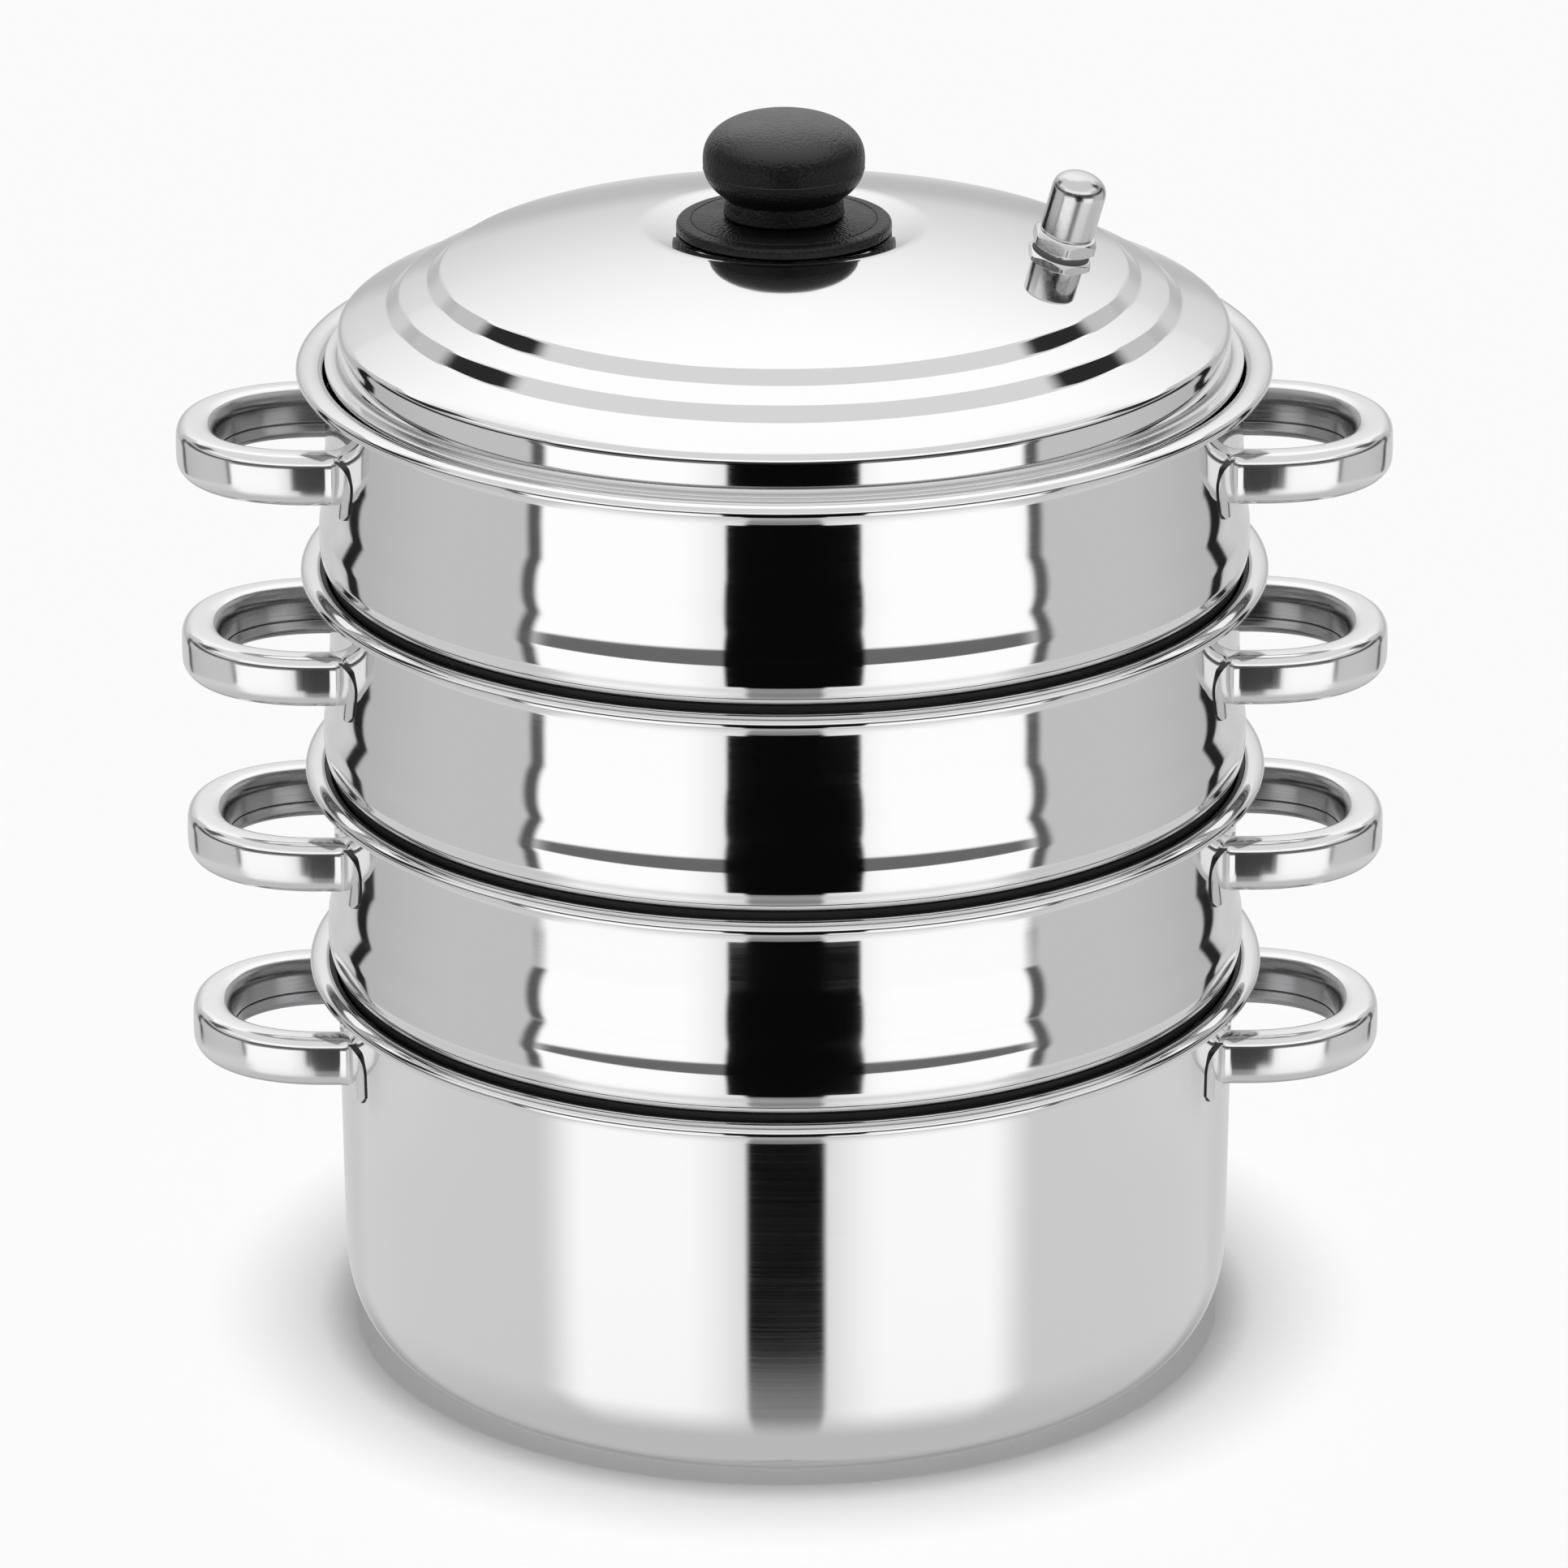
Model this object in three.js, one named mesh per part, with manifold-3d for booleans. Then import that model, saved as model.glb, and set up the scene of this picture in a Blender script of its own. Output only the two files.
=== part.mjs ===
// Stacked food steamer: a base pot, three steaming tiers and a domed lid with a knob and a steam vent.
// Millimetres, +Z up. The origin is on the floor under the pot's centre, and the handles lie along X.
import * as THREE from "three";
import { mergeVertices } from "three/addons/utils/BufferGeometryUtils.js";
import Module from "manifold-3d";

// Sheet steel vessels
const wallRadius = 120; // outside of every vessel's wall
const sheet = 1.0; // thickness of the steel
const segments = 28; // facets round a vessel
const knobSides = 18; // facets round the knob and its guard
const bushSides = 16; // facets round the vent's sleeve
const fittingSides = 12; // facets round the small fittings
const seatGap = 0.35; // clearance between nested vessels
const weldGap = 0.3; // clearance between pieces that touch

// Flared lip, the same on every vessel
const lipReach = 7.2; // from the wall to the lip's outer edge
const crestReach = 3.6; // from the wall to the lip's crest
const lipRise = 2.4; // crest above the outer edge
const lipDrop = 6.0; // crest down to the straight wall
const lipEdge = 0.8; // height of the rolled outer edge
const lipHem = 1.0; // depth of the rolled outer edge

// Base pot
const potHeight = 102.3; // floor to the lip's outer edge
const potTaper = 0.7; // how much the wall draws in towards the bottom
const potCornerWide = 14;
const potCornerHigh = 22.5;
const potHandleDrop = 12; // lip's edge down to the handle's top

// Steaming tiers, with heights above the lip's edge of the vessel below
const tierPitch = 55.2; // lip to lip
const shoulderTop = 36.8;
const shoulderLow = 27.6;
const shoulderOut = 0.8; // how far the wall swells below the shoulder
const coveTop = 18.6;
const coveOut = 2.2; // how far the cove stands out from the swell
const beadTop = 13.4;
const beadLow = 7.4;
const beadBarrel = 0.4; // crown of the bead's face
const underDrop = 2.8; // round underside of the bead
const spigotDepth = 11; // below the lip's edge of the vessel below
const spigotCorner = 2.6;
const ledgeWide = 9; // inward ledge that carries the steam plate
const tierHandleDrops = [12, 15.2, 15.2]; // lip's edge down to the handle's top, lowest tier first

// Perforated steam plate
const plateThick = 1.0;
const plateMargin = 3.2; // from the plate's rim to the spigot's inside
const steamHoleRadius = 4.5;
const steamHoleSides = 6;
const innerRingRadius = 44;
const outerRingRadius = 86;
const steamRings = [
  { radius: 0, holes: 1 },
  { radius: innerRingRadius, holes: 6 },
  { radius: outerRingRadius, holes: 12 },
];

// Loop handles
const handleTall = 14;
const handleWide = 10.6;
const handleSpan = 69; // over both arms
const handleReach = 39.2; // from the wall to the handle's tip
const armStraight = 8; // straight length of an arm outside the wall
const handleEdgeTop = 3.0; // chamfer of the outer edge above
const handleEdgeLow = 4.0; // chamfer of the outer edge below
const handleEdgeInner = 3.2; // chamfer of the inner edge above
const seamWide = 1.8; // folded seam along the inside of the loop
const seamDeep = 0.9;
const seamDrop = 2.4; // seam below the middle
const handleSteps = 10;
const tabOut = 14; // weld tab beyond the arm's outer face
const tabThick = 1.4;
const tabInset = 0.6; // tab below the arm's top
const tabRound = 5; // upper corner of the tab
const tabChamfer = 2.6; // lower corner of the tab

// Lid, with heights above the lip's edge of the top tier
const lidSheet = 1.0;
const flangeTop = 2.7;
const skirtInset = 3.7; // skirt inside the vessels' wall
const flangeCorner = 3.4; // round between the skirt and the flange
const skirtTop = 10.4;
const shoulderRadius = 114.4;
const shoulderHeight = 12.3;
const outerStep = { inner: 100.1, outer: 103.4, top: 20.0, low: 16.8 };
const innerStep = { inner: 89.4, outer: 92.7, top: 26.2, low: 23.0 };
const domeRadius = 305; // of the spherical cap inside the steps
const dishOuter = 36;
const dishInner = 29;
const dishDeep = 1.8;

// Knob
const knobRadius = 21;
const knobHalfHeight = 12.1;
const knobFullness = 2.4; // power of the head's superellipse, 2 is a plain ellipse
const knobCentre = 19; // above the lid's dish
const neckRadius = 15.5;
const guardRadius = 28; // heat guard disc
const guardRim = 2.7; // height of the guard's rim
const guardCrown = 4.1; // height of the guard at the neck
const guardBevel = 1.5;
const knobScrewRadius = 2.4;
const knobScrewDepth = 14; // screw above the lid's dish
const screwHeadRadius = 4.4;
const screwHeadTall = 2.8;
const washerRadius = 8;
const washerThick = 1.2;

// Steam vent, with heights along its own axis from the lid's surface
const ventRadius = 77.3; // from the lid's axis
const ventAzimuth = -29.5; // degrees from +X
const ventTilt = 16.5; // degrees from upright
const ventStemRadius = 3.8;
const ventBoreRadius = 1.6;
const bushRadius = 6.7;
const ventLift = 0.5; // bush above the lid, whose slope differs a little from the vent's tilt
const bushTall = 9.2;
const bushHexTall = 2.5;
const hexCorner = 8.9; // hexagons, centre to corner
const ventOpenGap = 1.9; // open gap between the two hexagons
const capHexTall = 3.7;
const capRadius = 7;
const capTall = 16.8;
const capDome = 5;
const capRoof = 5.6; // solid end of the cap above the stem
const gasketRadius = 7.6;
const gasketThick = 1.5;
const nutCorner = 8.4;
const nutTall = 5;
const stemBelowNut = 2;
const underGap = 0.9; // clearance under the lid, whose facets sag

// Finishes
const polishedSteel = { color: 0xd4d5d6, roughness: 0.12, metalness: 1 };
const brushedSteel = { color: 0xc2c3c4, roughness: 0.3, metalness: 1 };
const blackBakelite = { color: 0x121212, roughness: 0.55, metalness: 0 };
const greyRubber = { color: 0x3a3a3a, roughness: 0.8, metalness: 0 };

const steamer = new THREE.Group();
const wasm = await Module();
wasm.setup();

// Derived radii
const innerRadius = wallRadius - sheet;
const crestRadius = wallRadius + crestReach;
const edgeRadius = wallRadius + lipReach;
const hipRadius = wallRadius + shoulderOut;
const beadRadius = hipRadius + coveOut;
const spigotRadius = innerRadius - seatGap;

// Adds one named piece to the steamer.
function addPiece(name, geometry, finish) {
  const mesh = new THREE.Mesh(geometry, new THREE.MeshStandardMaterial(finish));
  mesh.name = name;
  steamer.add(mesh);
}

// Closed geometry to a solid for joins and cuts.
function solidOf(geometry) {
  const bare = new THREE.BufferGeometry();
  const source = geometry.index ? geometry.toNonIndexed() : geometry;
  bare.setAttribute("position", source.getAttribute("position"));
  const merged = mergeVertices(bare, 1e-4);
  const corners = merged.index.array;
  const kept = [];
  for (let i = 0; i < corners.length; i += 3) {
    const [a, b, c] = [corners[i], corners[i + 1], corners[i + 2]];
    if (a !== b && b !== c && c !== a) kept.push(a, b, c);
  }
  const mesh = new wasm.Mesh({
    numProp: 3,
    vertProperties: merged.attributes.position.array,
    triVerts: new Uint32Array(kept),
  });
  return new wasm.Manifold(mesh);
}

// Solid back to a geometry.
function geometryOf(solid) {
  const mesh = solid.getMesh();
  const geometry = new THREE.BufferGeometry();
  geometry.setAttribute("position", new THREE.BufferAttribute(mesh.vertProperties, 3));
  geometry.setIndex(new THREE.BufferAttribute(mesh.triVerts, 1));
  geometry.computeVertexNormals();
  return geometry;
}

// Points of an elliptic arc in the radius and height plane, both ends included.
function arc(r, z, a, b, fromDegrees, toDegrees, steps) {
  const points = [];
  for (let i = 0; i <= steps; i++) {
    const angle = THREE.MathUtils.degToRad(fromDegrees + ((toDegrees - fromDegrees) * i) / steps);
    points.push([r + a * Math.cos(angle), z + b * Math.sin(angle)]);
  }
  return points;
}

// Turns an outline of [radius, height] pairs round the Z axis. The outline runs anticlockwise, and one that
// stays off the axis is closed on itself.
function revolve(outline, sides = segments) {
  const points = outline.map(([r, z]) => new THREE.Vector2(Math.max(r, 0), z));
  const [first] = points;
  const last = points[points.length - 1];
  if (first.x > 0 || last.x > 0) points.push(first.clone());
  return new THREE.LatheGeometry(points, sides).rotateX(Math.PI / 2);
}

// A hexagon or round bar standing on z, with flat ends.
function bar(radius, z, height, sides) {
  const shape = new THREE.CylinderGeometry(radius, radius, height, sides);
  return shape.rotateX(Math.PI / 2).translate(0, 0, z + height / 2);
}

// Centre height of the lip's inner curve, for a lip whose outer edge is at z.
const lipCentre = (z) => z + lipRise - lipDrop;

// Point on the lip's inner curve, moved clear of it by the seat gap. 90 degrees is the crest and 180 the wall.
function seatPoint(z, degrees) {
  const angle = THREE.MathUtils.degToRad(degrees);
  const a = crestRadius - innerRadius;
  const normal = new THREE.Vector2(Math.cos(angle) / a, Math.sin(angle) / lipDrop).normalize();
  return [
    crestRadius + a * Math.cos(angle) + normal.x * seatGap,
    lipCentre(z) + lipDrop * Math.sin(angle) + normal.y * seatGap,
  ];
}

// Lip from the outer wall over the edge and the crest to the inner wall, for an outer edge at z.
function lipOutline(z) {
  const low = z - lipEdge / 2;
  const high = z + lipEdge / 2;
  return [
    ...arc(crestRadius, lipCentre(z), crestReach, lipDrop - sheet, 180, 90, 2),
    [edgeRadius - lipHem, low],
    [edgeRadius, low],
    ...arc(crestRadius, high, edgeRadius - crestRadius, z + lipRise - high, 0, 90, 2),
    ...arc(crestRadius, lipCentre(z), crestRadius - innerRadius, lipDrop, 90, 180, 3).slice(1),
  ];
}

// Base pot: flat floor, rounded corner, slightly tapered wall and flared lip
function potGeometry() {
  const lowRadius = wallRadius - potTaper;
  const cornerCentre = lowRadius - potCornerWide;
  const outside = arc(cornerCentre, potCornerHigh, potCornerWide, potCornerHigh, -90, 0, 4);
  const inside = arc(cornerCentre, potCornerHigh, potCornerWide - sheet, potCornerHigh - sheet, 0, -90, 2);
  return revolve([[0, 0], ...outside, ...lipOutline(potHeight), ...inside, [0, sheet]]);
}

// Tier whose foot sits in the lip with its edge at z
function tierGeometry(z) {
  const lip = z + tierPitch;
  const floor = z - spigotDepth;
  const ledgeRadius = spigotRadius - sheet - ledgeWide;
  const [neck, seatTop] = seatPoint(z, 132);
  const coveTall = coveTop - beadTop;
  const beadMiddle = z + (beadTop + beadLow) / 2;
  const cornerZ = floor + spigotCorner;
  const outside = [
    [ledgeRadius, floor],
    ...arc(spigotRadius - spigotCorner, cornerZ, spigotCorner, spigotCorner, -90, 0, 2),
    seatPoint(z, 176),
    seatPoint(z, 152),
    [neck, seatTop],
    [neck, z + beadLow - underDrop],
    ...arc(neck, z + beadLow, beadRadius - neck, underDrop, -45, 0, 1),
    [beadRadius + beadBarrel, beadMiddle],
    ...arc(beadRadius, z + coveTop, coveOut, coveTall, 270, 180, 2),
    [hipRadius, z + shoulderLow],
    [wallRadius, z + shoulderTop],
  ];
  const innerNeck = neck - sheet;
  const innerSpigot = spigotRadius - sheet;
  const inside = [
    [innerRadius, z + shoulderTop],
    [hipRadius - sheet, z + shoulderLow],
    ...arc(beadRadius, z + coveTop, coveOut + sheet, coveTall + sheet, 180, 250, 2),
    [beadRadius + beadBarrel - sheet, beadMiddle],
    [beadRadius - sheet, z + beadLow],
    [innerNeck, z + beadLow - underDrop + sheet],
    [innerSpigot, seatPoint(z, 176)[1]],
    [innerSpigot, cornerZ],
    [innerSpigot - spigotCorner + sheet, floor + sheet],
    [ledgeRadius, floor + sheet],
  ];
  return revolve([...outside, ...lipOutline(lip), ...inside]);
}

// Perforated floor that lies on the ledge of the tier above the lip edge at z
function plateGeometry(z) {
  const radius = spigotRadius - sheet - plateMargin;
  const corners = [];
  for (let i = 0; i < segments; i++) {
    const angle = -Math.PI / 2 + (2 * Math.PI * i) / segments;
    corners.push(new THREE.Vector2(radius * Math.cos(angle), radius * Math.sin(angle)));
  }
  const disc = new THREE.Shape(corners);
  for (const ring of steamRings) {
    for (let i = 0; i < ring.holes; i++) {
      const angle = (2 * Math.PI * i) / ring.holes;
      const hole = new THREE.Path();
      const points = [];
      for (let k = 0; k < steamHoleSides; k++) {
        const turn = angle + (2 * Math.PI * k) / steamHoleSides;
        const x = ring.radius * Math.cos(angle) + steamHoleRadius * Math.cos(turn);
        const y = ring.radius * Math.sin(angle) + steamHoleRadius * Math.sin(turn);
        points.push(new THREE.Vector2(x, y));
      }
      disc.holes.push(hole.setFromPoints(points));
    }
  }
  const plate = new THREE.ExtrudeGeometry(disc, { depth: plateThick, bevelEnabled: false });
  return plate.translate(0, 0, z - spigotDepth + sheet + weldGap);
}

// Section of the folded handle: x is down, y is towards the inside of the loop.
function handleSection() {
  const tall = handleTall / 2;
  const wide = handleWide / 2;
  return new THREE.Shape(
    [
      [-tall, -wide + handleEdgeTop],
      [-tall + handleEdgeTop, -wide],
      [tall - handleEdgeLow, -wide],
      [tall, -wide + handleEdgeLow],
      [tall, wide],
      [seamDrop + seamWide / 2, wide],
      [seamDrop, wide - seamDeep],
      [seamDrop - seamWide / 2, wide],
      [-tall + handleEdgeInner, wide],
      [-tall, wide - handleEdgeInner],
    ].map(([x, y]) => new THREE.Vector2(x, y)),
  );
}

// Vessel body inside a wall given as [radius, height] pairs from low to high, grown by a clearance
function envelope(wall, clearance) {
  const skin = wall.map(([r, z]) => [r + clearance, z]);
  const [low] = skin;
  const high = skin[skin.length - 1];
  return solidOf(revolve([[0, low[1]], ...skin, [0, high[1]]]));
}

// Blank of the weld tab at the end of an arm: side is -1 for the front arm and 1 for the back arm.
function tabBlank(side, middle) {
  const half = handleTall / 2;
  const inner = (handleSpan - handleWide) / 2;
  const outer = handleSpan / 2 + tabOut;
  const top = half - tabInset;
  const outline = [
    [inner, -half],
    [outer - tabChamfer, -half],
    [outer, -half + tabChamfer],
    ...arc(outer - tabRound, top - tabRound, tabRound, tabRound, 0, 90, 2),
    [inner, top],
  ].map(([y, z]) => new THREE.Vector2(side * y, z));
  const blank = new THREE.ExtrudeGeometry(new THREE.Shape(outline), { depth: wallRadius, bevelEnabled: false });
  const place = new THREE.Matrix4().makeBasis(
    new THREE.Vector3(0, 1, 0),
    new THREE.Vector3(0, 0, 1),
    new THREE.Vector3(1, 0, 0),
  );
  return solidOf(blank.applyMatrix4(place.setPosition(wallRadius / 2, 0, middle)));
}

// Loop handle at +X with its top at the given height, its ends cut to the wall
function handleSolid(top, wall) {
  const middle = top - handleTall / 2;
  const armY = (handleSpan - handleWide) / 2;
  const armEnd = wallRadius + armStraight;
  const tip = wallRadius + handleReach - handleWide / 2;
  const armStart = wallRadius - 2 * handleWide;
  const loop = arc(armEnd, 0, tip - armEnd, armY, -90, 90, 8);
  const route = [[armStart, -armY], [(armStart + armEnd) / 2, -armY], ...loop];
  route.push([(armStart + armEnd) / 2, armY], [armStart, armY]);
  const path = new THREE.CatmullRomCurve3(route.map(([x, y]) => new THREE.Vector3(x, y, middle)));
  const sweep = { steps: handleSteps, extrudePath: path, bevelEnabled: false };
  const arms = solidOf(new THREE.ExtrudeGeometry(handleSection(), sweep));
  const blanks = tabBlank(-1, middle).add(tabBlank(1, middle));
  const tabs = blanks.intersect(envelope(wall, weldGap + tabThick));
  return arms.add(tabs).subtract(envelope(wall, weldGap));
}

// Pair of handles on one vessel
function addHandles(vessel, top, wall) {
  const right = geometryOf(handleSolid(top, wall));
  addPiece(vessel + "_handle_right", right, polishedSteel);
  addPiece(vessel + "_handle_left", right.clone().rotateZ(Math.PI), polishedSteel);
}

// Height of the lid's dome at a radius, above the lip's edge
function domeHeight(r) {
  const sphere = (radius) => Math.sqrt(domeRadius ** 2 - radius ** 2);
  return innerStep.top + sphere(r) - sphere(innerStep.inner);
}

const dishHeight = domeHeight(dishOuter) - dishDeep;
const topLip = potHeight + tierHandleDrops.length * tierPitch;
const lidTop = topLip + dishHeight; // seat of the knob

// Frame of the vent: on the lid's surface, leaning out with it
function ventFrame() {
  const frame = new THREE.Matrix4().makeRotationZ(THREE.MathUtils.degToRad(ventAzimuth));
  frame.multiply(new THREE.Matrix4().makeTranslation(ventRadius, 0, topLip + domeHeight(ventRadius)));
  return frame.multiply(new THREE.Matrix4().makeRotationY(THREE.MathUtils.degToRad(ventTilt)));
}

// Lid: dish, dome, two step rings, shoulder, skirt and hemmed flange
function lidSolid() {
  const skirt = wallRadius - skirtInset;
  const clear = knobScrewRadius + weldGap;
  const [rimRadius, rimLow] = seatPoint(0, 141);
  const [hemRadius, hemLow] = seatPoint(0, 150);
  const dome = [ventRadius, innerStep.inner].map((r) => [r, domeHeight(r)]);
  const top = [
    [clear, dishHeight],
    [dishInner, dishHeight],
    [dishOuter, domeHeight(dishOuter)],
    ...dome,
    [innerStep.outer, innerStep.low],
    [outerStep.inner, outerStep.top],
    [outerStep.outer, outerStep.low],
    [shoulderRadius, shoulderHeight],
    ...arc(shoulderRadius, skirtTop, skirt - shoulderRadius, shoulderHeight - skirtTop, 45, 0, 1),
    ...arc(skirt + flangeCorner, flangeTop + flangeCorner, flangeCorner, flangeCorner, 180, 270, 2),
    [rimRadius, flangeTop],
  ];
  // The underside follows the top one sheet lower, and one sheet further in on the skirt.
  const under = [
    [clear, dishHeight - lidSheet],
    [dishInner + lidSheet / 2, dishHeight - lidSheet],
    ...[dishOuter, ...dome.map(([r]) => r)].map((r) => [r, domeHeight(r) - lidSheet]),
    [innerStep.outer - lidSheet / 2, innerStep.low - lidSheet],
    [outerStep.inner - lidSheet / 2, outerStep.top - lidSheet],
    [outerStep.outer - lidSheet / 2, outerStep.low - lidSheet],
    [shoulderRadius - lidSheet / 2, shoulderHeight - lidSheet],
    [skirt - lidSheet, skirtTop],
    [skirt - lidSheet, flangeTop + flangeCorner],
    [skirt + flangeCorner / 2, flangeTop - lidSheet],
    [hemRadius - lidSheet, flangeTop - lidSheet],
    [hemRadius - lidSheet, hemLow],
    [hemRadius, hemLow],
    [rimRadius, rimLow],
  ];
  const shell = solidOf(revolve([...under, ...top.reverse()]).translate(0, 0, topLip));
  const hole = bar(ventStemRadius + weldGap, -4 * lidSheet, 8 * lidSheet, fittingSides);
  return shell.subtract(solidOf(hole.applyMatrix4(ventFrame())));
}

// Outline of the knob's head from the neck to the top: a superellipse round the given centre height
function knobHead(centre, steps) {
  const power = 2 / knobFullness;
  const joint = -Math.acos((neckRadius / knobRadius) ** (1 / power));
  const points = [];
  for (let i = 0; i <= steps; i++) {
    const angle = joint + ((Math.PI / 2 - joint) * i) / steps;
    const up = Math.sign(angle) * Math.abs(Math.sin(angle)) ** power;
    points.push([knobRadius * Math.abs(Math.cos(angle)) ** power, centre + knobHalfHeight * up]);
  }
  points[steps][0] = 0;
  return points;
}

// Knob, its guard disc and its screw, all above and below the lid's dish
function addKnob() {
  const bore = knobScrewRadius + weldGap;
  const guardZ = lidTop + weldGap;
  const crown = guardZ + guardCrown;
  addPiece(
    "knob_disc",
    revolve(
      [
        [bore, guardZ],
        [guardRadius, guardZ],
        [guardRadius, guardZ + guardRim - guardBevel / 2],
        [guardRadius - guardBevel, guardZ + guardRim],
        [neckRadius, crown],
        [bore, crown],
      ],
      knobSides,
    ),
    blackBakelite,
  );

  const foot = crown + weldGap;
  const centre = lidTop + knobCentre;
  const boreEnd = lidTop + knobScrewDepth + weldGap;
  const outline = [
    [0, boreEnd],
    [bore, boreEnd],
    [bore, foot],
    [neckRadius, foot],
    ...knobHead(centre, 6),
  ];
  addPiece("knob", revolve(outline, knobSides), blackBakelite);

  const washerTop = lidTop - lidSheet - weldGap;
  const washerLow = washerTop - washerThick;
  const ring = [
    [bore, washerLow],
    [washerRadius, washerLow],
    [washerRadius, washerTop],
    [bore, washerTop],
  ];
  addPiece("knob_washer", revolve(ring, fittingSides), brushedSteel);

  const headTop = washerLow - weldGap;
  const headLow = headTop - screwHeadTall;
  const screw = [
    [0, headLow],
    [screwHeadRadius - screwHeadTall / 3, headLow],
    [screwHeadRadius, headTop - screwHeadTall / 3],
    [screwHeadRadius, headTop],
    [knobScrewRadius, headTop],
    [knobScrewRadius, lidTop + knobScrewDepth],
    [0, lidTop + knobScrewDepth],
  ];
  addPiece("knob_screw", revolve(screw, fittingSides), brushedSteel);
}

// Steam vent: bush, nozzle stem and weight cap above the lid, gasket and lock nut under it
function addVent() {
  const frame = ventFrame();
  const place = (geometry) => geometry.applyMatrix4(frame);
  const bore = ventStemRadius + weldGap;
  const bushTop = ventLift + bushTall + bushHexTall;
  const capFoot = bushTop + ventOpenGap;
  const capTop = capFoot + capHexTall + capTall;
  const stemTop = capTop - capRoof - weldGap;
  const gasketTop = -lidSheet - underGap;
  const gasketLow = gasketTop - gasketThick;
  const nutLow = gasketLow - weldGap - nutTall;
  const stemLow = nutLow - stemBelowNut;

  const sleeve = solidOf(bar(bushRadius, ventLift, bushTall + weldGap, bushSides));
  const bushHex = solidOf(bar(hexCorner, ventLift + bushTall, bushHexTall, 6));
  const bushBore = solidOf(bar(bore, -bushTall, 3 * bushTall, fittingSides));
  addPiece("vent_bush", place(geometryOf(sleeve.add(bushHex).subtract(bushBore))), brushedSteel);

  const stem = [
    [ventBoreRadius, stemLow],
    [ventStemRadius, stemLow],
    [ventStemRadius, stemTop],
    [ventBoreRadius, stemTop],
  ];
  addPiece("vent_stem", place(revolve(stem, fittingSides)), brushedSteel);

  const shaft = capTop - capDome;
  const round = [
    [0, stemTop + weldGap],
    [bore, stemTop + weldGap],
    [bore, capFoot],
    [capRadius, capFoot],
    ...arc(0, shaft, capRadius, capDome, 0, 90, 3),
  ];
  const capHex = solidOf(bar(hexCorner, capFoot, capHexTall, 6));
  const capBore = solidOf(bar(bore, capFoot - capHexTall, 3 * capHexTall, fittingSides));
  const cap = solidOf(revolve(round, fittingSides)).add(capHex.subtract(capBore));
  addPiece("vent_cap", place(geometryOf(cap)), brushedSteel);

  const gasket = [
    [bore, gasketLow],
    [gasketRadius, gasketLow],
    [gasketRadius, gasketTop],
    [bore, gasketTop],
  ];
  addPiece("vent_gasket", place(revolve(gasket, fittingSides)), greyRubber);

  const nut = solidOf(bar(nutCorner, nutLow, nutTall, 6));
  const nutBore = solidOf(bar(bore, nutLow - nutTall, 3 * nutTall, fittingSides));
  addPiece("vent_lock_nut", place(geometryOf(nut.subtract(nutBore))), brushedSteel);
}

// Vessels from the floor up
addPiece("base_pot", potGeometry(), polishedSteel);
addHandles("base", potHeight - potHandleDrop, [
  [wallRadius - potTaper, potCornerHigh],
  [wallRadius, lipCentre(potHeight)],
]);
tierHandleDrops.forEach((drop, index) => {
  const seat = potHeight + index * tierPitch;
  const lip = seat + tierPitch;
  const name = "tier_" + (index + 1);
  addPiece(name + "_shell", tierGeometry(seat), polishedSteel);
  addPiece(name + "_plate", plateGeometry(seat), brushedSteel);
  addHandles(name, lip - drop, [
    [hipRadius, seat + coveTop],
    [hipRadius, seat + shoulderLow],
    [wallRadius, seat + shoulderTop],
    [wallRadius, lipCentre(lip)],
  ]);
});

// Lid and what it carries
addPiece("lid_shell", geometryOf(lidSolid()), polishedSteel);
addKnob();
addVent();

export default steamer;
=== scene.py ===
import math

import bmesh
import bpy
from mathutils import Matrix, Vector


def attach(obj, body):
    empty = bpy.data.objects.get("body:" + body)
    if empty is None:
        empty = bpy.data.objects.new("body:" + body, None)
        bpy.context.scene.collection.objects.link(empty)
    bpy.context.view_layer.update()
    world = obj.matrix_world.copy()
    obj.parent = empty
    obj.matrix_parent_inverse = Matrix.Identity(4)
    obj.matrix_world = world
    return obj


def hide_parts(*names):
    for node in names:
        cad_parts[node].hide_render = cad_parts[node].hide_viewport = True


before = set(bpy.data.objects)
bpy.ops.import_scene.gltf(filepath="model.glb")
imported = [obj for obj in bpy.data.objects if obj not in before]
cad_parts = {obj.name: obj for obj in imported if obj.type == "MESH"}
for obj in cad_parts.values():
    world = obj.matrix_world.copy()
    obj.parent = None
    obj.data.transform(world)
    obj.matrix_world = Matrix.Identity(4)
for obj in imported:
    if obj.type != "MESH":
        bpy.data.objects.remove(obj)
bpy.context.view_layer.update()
print("frame loaded,", len(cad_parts), "nodes")

mm = 0.001  # shapes below are in millimetres


# outlines in the radius and height plane

def arcPoints(r, z, a, b, fromDeg, toDeg, steps):
    points = []
    for i in range(steps + 1):
        angle = math.radians(fromDeg + (toDeg - fromDeg) * i / steps)
        points.append((r + a * math.cos(angle), z + b * math.sin(angle)))
    return points


cornerShare = 0.48  # of a side, at most, that one rounded corner takes


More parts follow.
